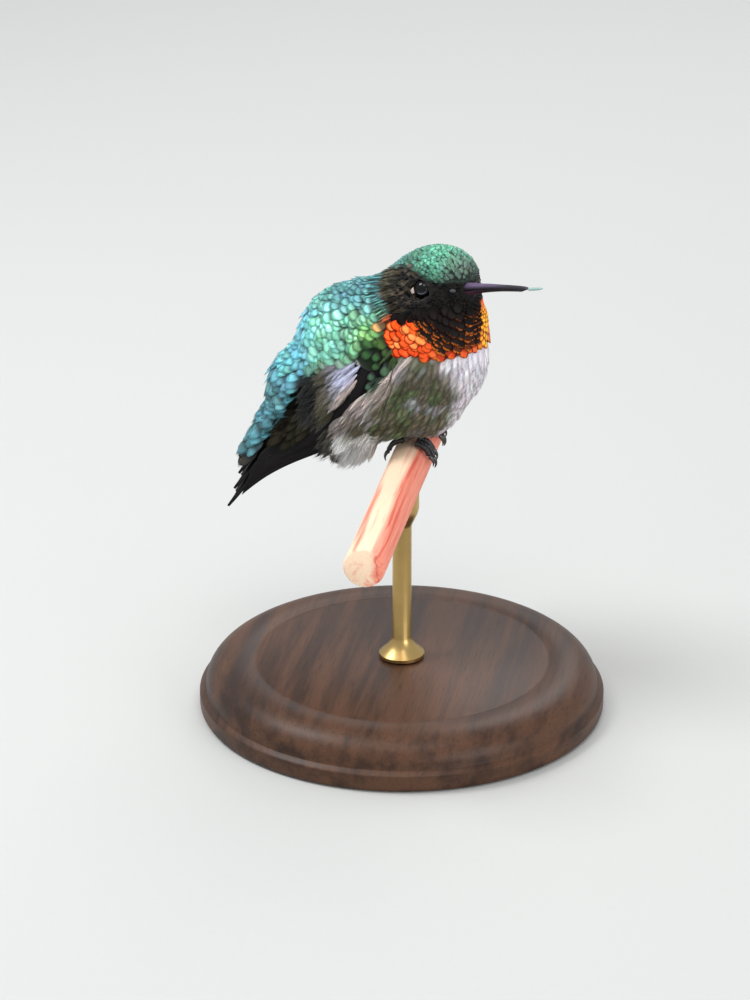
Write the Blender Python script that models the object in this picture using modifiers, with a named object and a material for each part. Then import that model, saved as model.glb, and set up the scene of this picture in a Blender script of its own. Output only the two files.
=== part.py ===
"""A male ruby-throated hummingbird, life size, perched on a short dowel that a display stand holds.

The bird faces +X, its left side is +Y, and the dowel runs along Y. The origin is the centre of the
stand's underside. The plumage is one soft body, blended from named masses and parted by thin plane
cuts. The wings, tail feathers, bill, eyes, legs, toes and claws are pieces of their own.
"""

import math

import bmesh
import bpy
from mathutils import Matrix, Vector

MM = 0.001

# Driving dimensions, in millimetres.
GAP = 0.3  # between pieces that touch
PARTING = 0.16  # width of the thin cuts that divide the plumage
PERCH_RADIUS = 3.175
PERCH_NEAR_END = -46.0
PERCH_FAR_END = 22.0
BIRD_OFFSET = -(PERCH_NEAR_END + PERCH_FAR_END) / 2  # the rod stands under the dowel's middle
PERCH_HEIGHT = 38.0  # dowel axis above the surface the stand rests on
BASE_RADIUS = 32.0
BASE_HEIGHT = 8.0
ROD_RADIUS = 1.5
CULMEN = 14.7  # exposed length of the upper bill
TONGUE_SHOWING = 2.9
EYE_RADIUS = 1.5
WING_CHORD = 37.5
TAIL_LENGTHS = (16.3, 17.8, 19.6, 22.1, 25.1)  # central pair first
FOOT_SPREAD = 4.7  # each foot from the middle of the bird
TOE_RADIUS = 0.44

# The head is turned to the bird's right and lifted.
HEAD_CENTRE = Vector((4.8, -0.8, 28.75))
HEAD_TURN = math.radians(-39.0)
HEAD_LIFT = math.radians(17.0)

# Plumage masses: centre and half sizes along X, Y and Z, then the pitch in degrees (nose up).
HEAD_MASSES = {
    "cranium": ((-1.6, 0.0, 0.3), (7.3, 6.6, 6.3), 0),
    "nape": ((-4.8, 0.0, 1.8), (4.4, 5.4, 4.3), 0),
    "face": ((1.3, 0.0, -0.9), (4.6, 5.3, 4.7), 0),
    "bill_root": ((4.3, 0.0, -1.5), (2.6, 1.9, 1.7), 0),
    "throat": ((-0.3, 0.0, -6.2), (5.8, 6.4, 5.1), 0),
}
BODY_MASSES = {
    "neck": ((0.6, 0.0, 23.4), (9.4, 9.2, 7.8), 0),
    "chest": ((0.9, 0.0, 17.0), (11.2, 11.4, 11.2), 0),
    "mantle": ((-8.6, 0.0, 18.8), (10.6, 9.8, 9.4), 20),
    "belly": ((-5.0, 0.0, 11.8), (11.4, 10.6, 9.6), 0),
    "lower_breast": ((0.5, 0.0, 10.9), (8.3, 9.2, 8.3), 0),
    "rump": ((-15.6, 0.0, 10.6), (8.8, 7.6, 7.8), 40),
    "tail_coverts": ((-21.2, 0.0, 4.6), (7.4, 4.2, 3.6), 44),
    "vent": ((-9.8, 0.0, 1.6), (4.6, 5.0, 3.4), 30),
}
VOXEL = 1.4
SMOOTHING = 5
FACET_SHARE = 0.33  # of the blended surface's facets that are kept

COLOURS = {
    "iridescent_green": ((0.05, 0.42, 0.27), 0.35, 0.4),
    "gorget": ((0.75, 0.12, 0.02), 0.35, 0.3),
    "grey_down": ((0.42, 0.38, 0.34), 0.85, 0.0),
    "flight_feather": ((0.025, 0.022, 0.025), 0.5, 0.0),
    "bill_horn": ((0.02, 0.018, 0.03), 0.35, 0.0),
    "eye": ((0.008, 0.007, 0.009), 0.05, 0.0),
    "tongue": ((0.75, 0.78, 0.72), 0.3, 0.0),
    "foot_skin": ((0.02, 0.018, 0.022), 0.45, 0.0),
    "perch_wood": ((0.72, 0.36, 0.23), 0.6, 0.0),
    "stand_wood": ((0.10, 0.05, 0.03), 0.4, 0.0),
    "stand_metal": ((0.55, 0.5, 0.42), 0.3, 1.0),
}


# ---------------------------------------------------------------- scene, materials and frames


def clear_scene():
    for obj in list(bpy.data.objects):
        bpy.data.objects.remove(obj)


def new_collection(name, hidden=False):
    collection = bpy.data.collections.new(name)
    bpy.context.scene.collection.children.link(collection)
    collection.hide_render = hidden
    return collection


def material(name):
    found = bpy.data.materials.get(name)
    if found:
        return found
    colour, roughness, metallic = COLOURS[name]
    made = bpy.data.materials.new(name)
    made.use_nodes = True
    shader = made.node_tree.nodes["Principled BSDF"]
    shader.inputs["Base Color"].default_value = (*colour, 1.0)
    shader.inputs["Roughness"].default_value = roughness
    shader.inputs["Metallic"].default_value = metallic
    return made


def to_row(point):
    """A place given from the dowel's axis between the feet, in millimetres, in the row's metres."""
    return (Vector(point) + Vector((0, BIRD_OFFSET, PERCH_HEIGHT))) * MM


HEAD_ROTATION = (Matrix.Rotation(HEAD_TURN, 3, "Z") @ Matrix.Rotation(-HEAD_LIFT, 3, "Y"))


def from_head(point):
    """A place given along, left of and above the head's centre, from the dowel's axis."""
    return HEAD_CENTRE + HEAD_ROTATION @ Vector(point)


def mirrored(point, side):
    return Vector((point[0], point[1] * side, point[2]))


# ---------------------------------------------------------------- mesh helpers


def add_object(name, mesh, collection, finish=None, smooth=True):
    obj = bpy.data.objects.new(name, mesh)
    collection.objects.link(obj)
    if finish:
        mesh.materials.clear()
        mesh.materials.append(material(finish))
    if smooth:
        mesh.shade_smooth()
        mesh.set_sharp_from_angle(angle=math.radians(40))
    return obj


def baked(obj):
    """The object's mesh with its modifiers and its place applied, as a new mesh."""
    bpy.context.view_layer.update()
    graph = bpy.context.evaluated_depsgraph_get()
    mesh = bpy.data.meshes.new_from_object(obj.evaluated_get(graph))
    mesh.transform(obj.matrix_world)
    bm = bmesh.new()
    bm.from_mesh(mesh)
    bmesh.ops.remove_doubles(bm, verts=bm.verts, dist=1e-6)
    bm.to_mesh(mesh)
    bm.free()
    return mesh


def take_mesh(obj):
    """Bakes an object to a mesh and removes it."""
    mesh = baked(obj)
    bpy.data.objects.remove(obj)
    return mesh


def ellipsoid_mesh(name, half_sizes, matrix, segments=28, rings=18):
    bm = bmesh.new()
    bmesh.ops.create_uvsphere(bm, u_segments=segments, v_segments=rings, radius=1.0)
    bm.transform(matrix @ Matrix.Diagonal((*half_sizes, 1.0)))
    mesh = bpy.data.meshes.new(name)
    bm.to_mesh(mesh)
    bm.free()
    return mesh


def placed(centre, rotation=None, scale=MM):
    """The matrix that puts a shape in millimetres at a place from the dowel's axis."""
    turn = (rotation or Matrix.Identity(3)).to_4x4()
    return Matrix.Translation(to_row(centre)) @ turn @ Matrix.Scale(scale, 4)


def tube_mesh(name, points, radii, sides=2, cyclic=False):
    """A tapering tube along a smooth run of places from the dowel's axis."""
    curve = bpy.data.curves.new(name, "CURVE")
    curve.dimensions = "3D"
    curve.bevel_depth = 1.0 * MM
    curve.bevel_resolution = sides
    curve.use_fill_caps = True
    spline = curve.splines.new("POLY")
    spline.points.add(len(points) - 1)
    spline.use_cyclic_u = cyclic
    for target, point, radius in zip(spline.points, points, radii):
        target.co = (*to_row(point), 1.0)
        target.radius = radius
    obj = bpy.data.objects.new(name, curve)
    bpy.context.scene.collection.objects.link(obj)
    return take_mesh(obj)


def thickened(mesh, extra):
    """A copy of a closed mesh, grown outwards by extra millimetres, to cut clearance with."""
    grown = mesh.copy()
    bm = bmesh.new()
    bm.from_mesh(grown)
    bmesh.ops.recalc_face_normals(bm, faces=bm.faces)
    bm.normal_update()
    shifts = [vert.normal * extra * MM for vert in bm.verts]
    for vert, shift in zip(bm.verts, shifts):
        vert.co += shift
    bm.to_mesh(grown)
    bm.free()
    return grown


def cut(obj, cutter_mesh, name):
    """Takes the cutter's shape out of the object and keeps the result as its mesh."""
    cutter = add_object(name, cutter_mesh, CUTTERS, smooth=False)
    cutter.hide_render = True
    cutter.display_type = "WIRE"
    modifier = obj.modifiers.new(name, "BOOLEAN")
    modifier.operation = "DIFFERENCE"
    modifier.solver = "EXACT"
    modifier.object = cutter
    mesh = baked(obj)
    obj.modifiers.clear()
    obj.data = mesh
    mesh.shade_smooth()
    mesh.set_sharp_from_angle(angle=math.radians(40))


def keep_side(mesh, point, normal, shift):
    """Keeps the part of a closed mesh on the normal's side of a plane, and closes the cut."""
    bm = bmesh.new()
    bm.from_mesh(mesh)
    direction = Vector(normal).normalized()
    result = bmesh.ops.bisect_plane(
        bm,
        geom=bm.verts[:] + bm.edges[:] + bm.faces[:],
        plane_co=to_row(point) + direction * shift * MM,
        plane_no=direction,
        clear_inner=True,
    )
    rim = [item for item in result["geom_cut"] if isinstance(item, bmesh.types.BMEdge)]
    bmesh.ops.holes_fill(bm, edges=rim, sides=0)
    bmesh.ops.recalc_face_normals(bm, faces=bm.faces)
    bm.to_mesh(mesh)
    bm.free()


# ---------------------------------------------------------------- plumage


def blended_body():
    """All the plumage masses melted into one soft closed surface."""
    joined = bmesh.new()
    for name, (centre, half, pitch) in HEAD_MASSES.items():
        turn = HEAD_ROTATION @ Matrix.Rotation(-math.radians(pitch), 3, "Y")
        mesh = ellipsoid_mesh(name, half, placed(from_head(centre), turn))
        joined.from_mesh(mesh)
        bpy.data.meshes.remove(mesh)
    for name, (centre, half, pitch) in BODY_MASSES.items():
        turn = Matrix.Rotation(-math.radians(pitch), 3, "Y")
        mesh = ellipsoid_mesh(name, half, placed(centre, turn))
        joined.from_mesh(mesh)
        bpy.data.meshes.remove(mesh)
    mesh = bpy.data.meshes.new("plumage")
    joined.to_mesh(mesh)
    joined.free()
    body = add_object("plumage", mesh, CUTTERS, smooth=False)
    remesh = body.modifiers.new("blend", "REMESH")
    remesh.mode = "VOXEL"
    remesh.voxel_size = VOXEL * MM
    soften = body.modifiers.new("soften", "SMOOTH")
    soften.factor = 0.5
    soften.iterations = SMOOTHING
    thin = body.modifiers.new("thin", "DECIMATE")
    thin.decimate_type = "COLLAPSE"
    thin.ratio = FACET_SHARE
    return take_mesh(body)


def parting_planes():
    """Named planes as a point and the normal that points to their front or upper side."""
    head_up = HEAD_ROTATION @ Vector((0, 0, 1))
    head_front = HEAD_ROTATION @ Vector((1, 0, 0.25))
    return {
        "neck_base": (Vector((2.0, 0.0, 22.6)), Vector((0.62, 0.0, 0.79))),
        "under_head": (from_head((0, 0, -3.6)), head_up),
        "behind_throat": (from_head((-2.4, 0, -6)), head_front),
        "behind_breast": (Vector((-3.5, 0.0, 14.0)), Vector((0.85, 0.0, 0.53))),
        "over_belly": (Vector((-12.0, 0.0, 8.5)), Vector((-0.72, 0.0, 0.69))),
        "behind_back": (Vector((-13.0, 0.0, 14.5)), Vector((0.80, 0.0, 0.60))),
    }


# Each plumage piece is the part of the body on these sides of the parting planes.
PLUMAGE_PIECES = {
    "head": ("iridescent_green", {"neck_base": 1, "under_head": 1}),
    "throat": ("gorget", {"neck_base": 1, "under_head": -1, "behind_throat": 1}),
    "neck": ("iridescent_green", {"neck_base": 1, "under_head": -1, "behind_throat": -1}),
    "breast": ("grey_down", {"neck_base": -1, "behind_breast": 1}),
    "belly": ("grey_down", {"neck_base": -1, "behind_breast": -1, "over_belly": -1}),
    "back": (
        "iridescent_green",
        {"neck_base": -1, "behind_breast": -1, "over_belly": 1, "behind_back": 1},
    ),
    "rump": (
        "iridescent_green",
        {"neck_base": -1, "behind_breast": -1, "over_belly": 1, "behind_back": -1},
    ),
}


def plumage_pieces(body_mesh):
    planes = parting_planes()
    pieces = {}
    for name, (finish, sides) in PLUMAGE_PIECES.items():
        mesh = body_mesh.copy()
        for plane, side in sides.items():
            point, normal = planes[plane]
            keep_side(mesh, point, normal * side, PARTING / 2)
        keep_largest(mesh)
        pieces[name] = add_object(name, mesh, BIRD, finish)
    return pieces


# ---------------------------------------------------------------- head details

EYE_PLACE = (0.5, 4.75, 0.35)
ORBIT = ((0.5, 6.75, 0.2), (2.3, 1.0, 1.7))
BILL_START = 3.2
BILL_DROP = -1.35  # the bill's axis below the head's centre
BILL_LENGTH = 4.5 + CULMEN - BILL_START
BILL_BOW = 0.46  # how far the bill bows up from the straight line
# Radii of the bill at shares of its length, root first.
BILL_PROFILE = ((0.0, 1.15), (0.14, 0.95), (0.35, 0.68), (0.62, 0.50), (0.88, 0.40), (1.0, 0.17))


def head_point(along, left=0.0, above=0.0):
    return from_head((along, left, BILL_DROP + above))


def make_eyes(head):
    for side, word in ((1, "left"), (-1, "right")):
        centre = from_head(mirrored(EYE_PLACE, side))
        ball = (EYE_RADIUS,) * 3
        mesh = ellipsoid_mesh("eye", ball, placed(centre), 14, 8)
        cut(head, thickened(mesh, GAP), f"eye_socket_{word}")
        middle, half = ORBIT
        dish = ellipsoid_mesh("orbit", half, placed(from_head(mirrored(middle, side)),
                                                    HEAD_ROTATION), 12, 8)
        cut(head, dish, f"orbit_{word}")
        keep_largest(head.data)
        add_object(f"eye_{word}", mesh, BIRD, "eye")


def bill_mesh():
    points = [head_point(BILL_START + share * BILL_LENGTH) for share, _ in BILL_PROFILE]
    return tube_mesh("bill", points, [radius for _, radius in BILL_PROFILE], sides=4)


def bowed(mesh):
    """Raises the bill along its first two thirds, so that it bows gently down to its tip."""
    up = HEAD_ROTATION @ Vector((0, 0, 1))
    front = HEAD_ROTATION @ Vector((1, 0, 0))
    root = to_row(head_point(BILL_START))
    for vert in mesh.vertices:
        share = min(max((vert.co - root).dot(front) / (BILL_LENGTH * MM), 0.0), 1.0)
        vert.co += up * (BILL_BOW * math.sin(math.pi * (0.22 + 0.78 * share)) * MM)
    return mesh


def make_bill(head):
    whole = bill_mesh()
    up = HEAD_ROTATION @ Vector((0, 0, 1))
    front = HEAD_ROTATION @ Vector((1, 0, 0))
    gape = head_point(0, 0, -0.12)
    upper, lower = bill_mesh(), bill_mesh()
    keep_side(upper, gape, up, 0.06)
    keep_side(lower, gape, -up, 0.06)
    keep_side(lower, head_point(4.0 + CULMEN - 1.2), -front, 0.0)
    cut(head, thickened(bowed(whole), 0.15), "bill_socket")
    upper, lower = bowed(upper), bowed(lower)
    add_object("bill_upper", upper, BIRD, "bill_horn")
    add_object("bill_lower", lower, BIRD, "bill_horn")
    tip = 4.5 + CULMEN
    run = [head_point(tip + GAP * 0.5 + share * TONGUE_SHOWING) for share in (0, 0.4, 0.8, 1)]
    tongue = tube_mesh("tongue", run, (0.26, 0.26, 0.25, 0.14))
    add_object("tongue", tongue, BIRD, "tongue")


# ---------------------------------------------------------------- flight feathers


def vane_outline(length, width, point_share, steps=9):
    """Half widths along a feather: it swells from the quill and narrows to a point."""
    rows = []
    for step in range(steps + 1):
        share = step / steps
        swell = min(1.0, 0.45 + 1.6 * share)
        narrow = 1.0
        if share > point_share:
            narrow = math.cos((share - point_share) / (1 - point_share) * math.pi / 2) ** 0.8
        rows.append((share * length, 0.5 * width * swell * max(narrow, 0.12)))
    return rows


def feather_mesh(name, place, rows, thickness):
    """A closed plate: place(along, across, height) turns its flat shape into row metres."""
    bm = bmesh.new()
    rings = []
    for along, half in rows:
        corners = ((-half, -1), (0.0, -1), (half, -1), (half, 1), (0.0, 1), (-half, 1))
        crown = 0.15 * thickness
        ring = []
        for across, level in corners:
            height = level * thickness / 2 + (crown if across == 0.0 else 0.0)
            ring.append(bm.verts.new(place(along, across, height)))
        rings.append(ring)
    for first, second in zip(rings, rings[1:]):
        for i in range(6):
            j = (i + 1) % 6
            bm.faces.new((first[i], first[j], second[j], second[i]))
    bm.faces.new(reversed(rings[0]))
    bm.faces.new(rings[-1])
    bmesh.ops.recalc_face_normals(bm, faces=bm.faces)
    mesh = bpy.data.meshes.new(name)
    bm.to_mesh(mesh)
    bm.free()
    return mesh


TAIL_ROOT = Vector((-15.5, 0.0, 10.6))
TAIL_SLOPE = math.radians(53.5)  # below the horizontal
TAIL_FAN = math.radians(1.6)  # the outer pair's spread to each side
TAIL_WIDTHS = (3.5, 3.7, 3.6, 3.3, 2.8)
TAIL_LAYER = 0.8  # each feather lies this far under the one inside it
TAIL_START = 5.0  # the hidden quill ends here
TAIL_THICKNESS = 0.5


def tail_place(rank, side):
    """The mapping from a flat tail feather to its place in the half-folded, roof-shaped tail."""
    share = rank / (len(TAIL_LENGTHS) - 1)
    spread = TAIL_FAN * share + math.radians(1.0)
    along = Vector((-math.cos(TAIL_SLOPE), side * math.sin(spread), -math.sin(TAIL_SLOPE))).normalized()
    tilt = math.radians(6 + 17 * share)
    flat = Vector((0, side, 0))
    across = (flat - along * flat.dot(along)).normalized()
    up = across.cross(along) * side
    up = up if up.z > 0 else -up
    outward = across * math.cos(tilt) - up * math.sin(tilt)
    normal = across * math.sin(tilt) + up * math.cos(tilt)
    layer = TAIL_LAYER * (len(TAIL_LENGTHS) - 1 - rank)
    root = TAIL_ROOT + Vector((0, side * (1.9 + 0.1 * rank), 0)) + up * layer

    def place(length, width, height):
        droop = 0.0016 * length * length
        return to_row(root + along * length + outward * width + normal * (height - droop))

    return place


def make_tail(body_mesh):
    for side, word in ((1, "left"), (-1, "right")):
        for rank, length in enumerate(TAIL_LENGTHS):
            outline = vane_outline(length, TAIL_WIDTHS[rank], 0.42 + 0.05 * rank)
            rows = [row for row in outline if row[0] >= TAIL_START]
            mesh = feather_mesh("rectrix", tail_place(rank, side), rows, TAIL_THICKNESS)
            name = f"tail_feather_{word}_{rank + 1}"
            feather = add_object(name, mesh, BIRD, "flight_feather", smooth=False)
            cut(feather, thickened(body_mesh, GAP), f"rump_over_{name}")
            keep_largest(feather.data)


# The folded wing lies along a line from the wrist to its tip, leading edge down and forwards.
WRIST = Vector((-2.6, -10.4, 20.6))
WING_TIP = Vector((-27.3, -5.0, -7.7))
WING_BOW = 5.6  # how far the leading edge bulges from the line to the tip
WING_THICKNESS = 0.5
WING_SHOWING = 7.5  # widest strip of the folded wing that is modelled
PRIMARY_TIPS = (10.0, 14.5, 18.5, 22.3, 25.8, 29.2, 32.0, 34.6, 36.6)  # inner ones, from the wrist
PRIMARY_STEP = 0.82


def wing_axes():
    chord = (WING_TIP - WRIST).normalized()
    outward = Vector((-0.16, -1.0, 0.12))
    outward = (outward - chord * outward.dot(chord)).normalized()
    leading = chord.cross(outward).normalized()
    if leading.x < 0:
        leading = -leading
    return chord, leading, outward


def wing_edges(along):
    """Where the leading and the trailing edge lie across the chord line, at a distance along it."""
    share = along / WING_CHORD
    leading = WING_BOW * math.sin(math.pi * share ** 0.62) ** 2 + 0.6 * (1 - share)
    trailing = leading - 1.7 * math.sqrt(max(1 - share, 0.0) * 4.0 + 0.02)
    for reach in PRIMARY_TIPS:
        if along < reach:
            trailing -= PRIMARY_STEP * min(1.0, ((reach - along) / 3.2) ** 0.5)
    return leading, min(max(trailing, leading - WING_SHOWING), leading - 0.5)


def blade_mesh(side):
    """The folded primaries as one closed plate, whose rear edge is stepped by the feather tips."""
    chord, leading_axis, outward = wing_axes()
    columns = 3
    stations = sorted({2.0, 6.0, WING_CHORD * 0.995, *PRIMARY_TIPS})
    stations = sorted({*stations, *(reach - 1.4 for reach in PRIMARY_TIPS)})
    bm = bmesh.new()
    rings = []
    for along in stations:
        share = along / WING_CHORD
        front, back = wing_edges(along)
        ring = []
        for level, order in ((1, range(columns + 1)), (-1, range(columns, -1, -1))):
            for column in order:
                across = back + (front - back) * column / columns
                wrap = -0.03 * max(across, 0.0) ** 2 * (1 - share)
                fold = 0.34 * min(across, 1.0) * (1 - share)
                hug = 0.5 * math.sin(2 * math.pi * share)
                height = hug + fold + wrap + level * WING_THICKNESS / 2
                point = WRIST + chord * along + leading_axis * across + outward * height
                ring.append(bm.verts.new(to_row(mirrored(point, side))))
        rings.append(ring)
    count = len(rings[0])
    for first, second in zip(rings, rings[1:]):
        for i in range(count):
            j = (i + 1) % count
            bm.faces.new((first[i], first[j], second[j], second[i]))
    bm.faces.new(reversed(rings[0]))
    bm.faces.new(rings[-1])
    bmesh.ops.recalc_face_normals(bm, faces=bm.faces)
    mesh = bpy.data.meshes.new("blade")
    bm.to_mesh(mesh)
    bm.free()
    return mesh


WING_ARM = ((-4.6, -9.0, 18.6), (5.2, 2.3, 3.5))
WING_ARM_PITCH = math.radians(50.0)


def make_wings(pieces):
    """Each wing is a folded blade of primaries and the covert-clad arm at its wrist."""
    for side, word in ((1, "right"), (-1, "left")):
        blade = blade_mesh(side)
        centre, half = WING_ARM
        turn = Matrix.Rotation(WING_ARM_PITCH, 3, "Y")
        arm = ellipsoid_mesh("arm", half, placed(mirrored(centre, side), turn), 14, 10)
        recesses = {"blade": thickened(blade, GAP), "arm": thickened(arm, GAP)}
        for name in ("neck", "breast", "belly", "back", "rump"):
            for shape, clearance in recesses.items():
                cut(pieces[name], clearance.copy(), f"recess_{word}_{shape}_{name}")
            keep_largest(pieces[name].data)
        blade_obj = add_object(f"wing_{word}_primaries", blade, BIRD, "flight_feather", smooth=False)
        arm_obj = add_object(f"wing_{word}_arm", arm, BIRD, "iridescent_green")
        cut(arm_obj, thickened(blade_obj.data, 1.7 * GAP), f"arm_slot_{word}")
        keep_largest(arm_obj.data)


def fix_normals(mesh):
    bm = bmesh.new()
    bm.from_mesh(mesh)
    bmesh.ops.recalc_face_normals(bm, faces=bm.faces)
    bm.to_mesh(mesh)
    bm.free()


def keep_largest(mesh):
    """Drops loose crumbs that a cut leaves, keeping the biggest closed body."""
    bm = bmesh.new()
    bm.from_mesh(mesh)
    left = set(bm.verts)
    groups = []
    while left:
        todo, group = [left.pop()], set()
        while todo:
            vert = todo.pop()
            group.add(vert)
            for edge in vert.link_edges:
                other = edge.other_vert(vert)
                if other in left:
                    left.discard(other)
                    todo.append(other)
        groups.append(group)
    groups.sort(key=len)
    for group in groups[:-1]:
        bmesh.ops.delete(bm, geom=list(group), context="VERTS")
    bm.to_mesh(mesh)
    bm.free()


# ---------------------------------------------------------------- legs and feet

# Toe name: how far round the dowel it reaches in degrees (front is positive) and its sideways splay.
TOES = {
    "inner": (60.0, -1.75),
    "middle": (70.0, -0.1),
    "outer": (57.0, 1.6),
    "hind": (-62.0, -0.3),
}
CLAW_REACH = 32.0
TOE_ROOT_ANGLE = 14.0
ARCH_CLEARANCE = 1.5
FOOT_FLAT = 0.12  # how far the toes stand off the dowel


def round_dowel(angle, sideways, lift):
    """A place on the dowel's surface, at an angle forwards from its top."""
    turn = math.radians(angle)
    radius = PERCH_RADIUS + lift
    return Vector((radius * math.sin(turn), sideways, radius * math.cos(turn)))


def make_toe(word, side, toe, reach, splay):
    forwards = 1 if reach > 0 else -1
    start = forwards * TOE_ROOT_ANGLE
    steps = 6
    lift = TOE_RADIUS + FOOT_FLAT + 0.1
    middle = side * FOOT_SPREAD
    run, radii = [], []
    for step in range(steps + 1):
        share = step / steps
        angle = start + (reach - start) * share
        knuckle = 0.06 * math.cos(share * math.pi * 4)
        sideways = middle + side * splay * (0.62 + 0.38 * share)
        run.append(round_dowel(angle, sideways, lift + 0.25 * math.sin(share * math.pi)))
        radii.append(TOE_RADIUS * (1.06 - 0.22 * share) + knuckle * 0.5)
    mesh = tube_mesh("toe", run, radii, sides=1)
    add_object(f"toe_{word}_{toe}", mesh, BIRD, "foot_skin")
    claw_run, claw_radii = [], []
    begin = reach + forwards * math.degrees(0.2 / (PERCH_RADIUS + lift))
    for step in range(5):
        share = step / 4
        angle = begin + forwards * CLAW_REACH * share
        raised = lift + 0.28 * math.sin(share * math.pi * 0.8)
        claw_run.append(round_dowel(angle, middle + side * splay, raised))
        claw_radii.append(0.33 * (1 - 0.62 * share))
    mesh = tube_mesh("claw", claw_run, claw_radii, sides=1)
    add_object(f"claw_{word}_{toe}", mesh, BIRD, "foot_skin")


def make_arch(pieces):
    """Keeps the plumage clear of the dowel and of the toes on it."""
    for name in ("belly", "breast"):
        arch = cylinder_mesh(PERCH_RADIUS + ARCH_CLEARANCE, -30.0, 30.0, 28)
        cut(pieces[name], arch, f"arch_{name}")
        keep_largest(pieces[name].data)


def make_legs(belly, breast):
    for side, word in ((1, "left"), (-1, "right")):
        top = Vector((-2.6, side * (FOOT_SPREAD - 0.6), 8.6))
        bottom = round_dowel(0, side * FOOT_SPREAD, 0.95)
        run = [top.lerp(bottom, share) for share in (0, 0.35, 0.7, 0.92, 1.0)]
        mesh = tube_mesh("leg", run, (0.75, 0.52, 0.46, 0.6, 0.5))
        clearance = thickened(mesh, GAP)
        for piece in (belly, breast):
            cut(piece, clearance.copy(), f"leg_socket_{word}_{piece.name}")
        add_object(f"leg_{word}", mesh, BIRD, "foot_skin")
        for toe, (reach, splay) in TOES.items():
            make_toe(word, side, toe, reach, splay)


# ---------------------------------------------------------------- perch and stand


def cylinder_mesh(radius, start, end, segments, bevel=0.0):
    """A closed cylinder along the dowel's axis, from one sideways place to another."""
    bm = bmesh.new()
    bmesh.ops.create_cone(
        bm,
        cap_ends=True,
        segments=segments,
        radius1=radius * MM,
        radius2=radius * MM,
        depth=(end - start) * MM,
        matrix=Matrix.Rotation(math.pi / 2, 4, "X"),
    )
    if bevel:
        rims = [edge for edge in bm.edges if any(len(face.verts) > 4 for face in edge.link_faces)]
        bmesh.ops.bevel(bm, geom=rims, offset=bevel * MM, segments=1, affect="EDGES")
    mesh = bpy.data.meshes.new("cylinder")
    bm.to_mesh(mesh)
    bm.free()
    mesh.transform(Matrix.Translation(to_row((0, (end + start) / 2, 0))))
    return mesh


def make_perch():
    mesh = cylinder_mesh(PERCH_RADIUS, PERCH_NEAR_END, PERCH_FAR_END, 32, bevel=0.35)
    return add_object("perch", mesh, BIRD, "perch_wood")


def turned(name, profile, centre, finish, steps):
    """A solid turned from (radius, height) pairs, listed from the top down its outer side."""
    mesh = bpy.data.meshes.new(name)
    points = [(radius * MM, 0, height * MM) for radius, height in profile]
    mesh.from_pydata(points, [(i, i + 1) for i in range(len(points) - 1)], [])
    obj = add_object(name, mesh, BIRD, finish, smooth=False)
    screw = obj.modifiers.new("turn", "SCREW")
    screw.steps = steps
    screw.render_steps = steps
    screw.use_merge_vertices = True
    screw.merge_threshold = 0.00005
    made = baked(obj)
    obj.modifiers.clear()
    obj.data = made
    made.transform(Matrix.Translation(Vector(centre) * MM))
    fix_normals(made)
    made.shade_smooth()
    made.set_sharp_from_angle(angle=math.radians(30))
    return obj


def make_stand(perch):
    """A turned wooden foot with one metal rod, which ends in a cradle under the dowel."""
    edge = 1.0
    base = (
        (0.0, BASE_HEIGHT),
        (BASE_RADIUS - 6.0, BASE_HEIGHT),
        (BASE_RADIUS - 3.2, BASE_HEIGHT - 0.7),
        (BASE_RADIUS - 1.4, BASE_HEIGHT - 2.4),
        (BASE_RADIUS - 0.9, BASE_HEIGHT - 4.2),
        (BASE_RADIUS, BASE_HEIGHT - 5.0),
        (BASE_RADIUS, edge),
        (BASE_RADIUS - edge, 0.0),
        (0.0, 0.0),
    )
    turned("stand_base", base, (0, 0, 0), "stand_wood", 40)
    foot = BASE_HEIGHT + GAP
    top = PERCH_HEIGHT - 1.2
    rod = (
        (0.0, top),
        (2.6, top),
        (2.7, top - 3.4),
        (ROD_RADIUS, top - 6.4),
        (ROD_RADIUS, foot + 3.2),
        (2.4, foot + 2.2),
        (3.6, foot + 0.7),
        (3.6, foot),
        (0.0, foot),
    )
    rod_obj = turned("stand_rod", rod, (0, 0, 0), "stand_metal", 24)
    cut(rod_obj, thickened(perch.data, GAP), "cradle")


clear_scene()
BIRD = new_collection("hummingbird")
CUTTERS = new_collection("cutters", hidden=True)

plumage = blended_body()
parts = plumage_pieces(plumage)
make_eyes(parts["head"])
make_bill(parts["head"])
make_tail(plumage)
make_wings(parts)
make_arch(parts)
make_legs(parts["belly"], parts["breast"])
make_stand(make_perch())
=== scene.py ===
import functools
import math

import bmesh
import bpy
import numpy as np
from bpy.props import FloatProperty, FloatVectorProperty, IntProperty, PointerProperty
from mathutils import Matrix, Vector
from mathutils.bvhtree import BVHTree


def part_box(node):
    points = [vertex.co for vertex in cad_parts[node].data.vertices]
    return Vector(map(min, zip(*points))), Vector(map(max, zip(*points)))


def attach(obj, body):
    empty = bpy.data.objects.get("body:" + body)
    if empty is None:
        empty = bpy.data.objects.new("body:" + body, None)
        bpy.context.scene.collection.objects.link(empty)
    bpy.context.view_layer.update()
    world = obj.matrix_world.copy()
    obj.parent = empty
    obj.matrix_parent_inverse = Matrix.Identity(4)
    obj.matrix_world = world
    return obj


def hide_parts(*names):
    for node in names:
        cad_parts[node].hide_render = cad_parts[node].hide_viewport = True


bl_info = {
    "name": "Perched Hummingbird",
    "version": (1, 0, 0),
    "blender": (4, 5, 0),
    "location": "View3D > Sidebar > Hummingbird",
    "description": "Feathers, bill, eyes, feet, perch and stand for a life-size hummingbird",
    "category": "Add Mesh",
}

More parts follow.
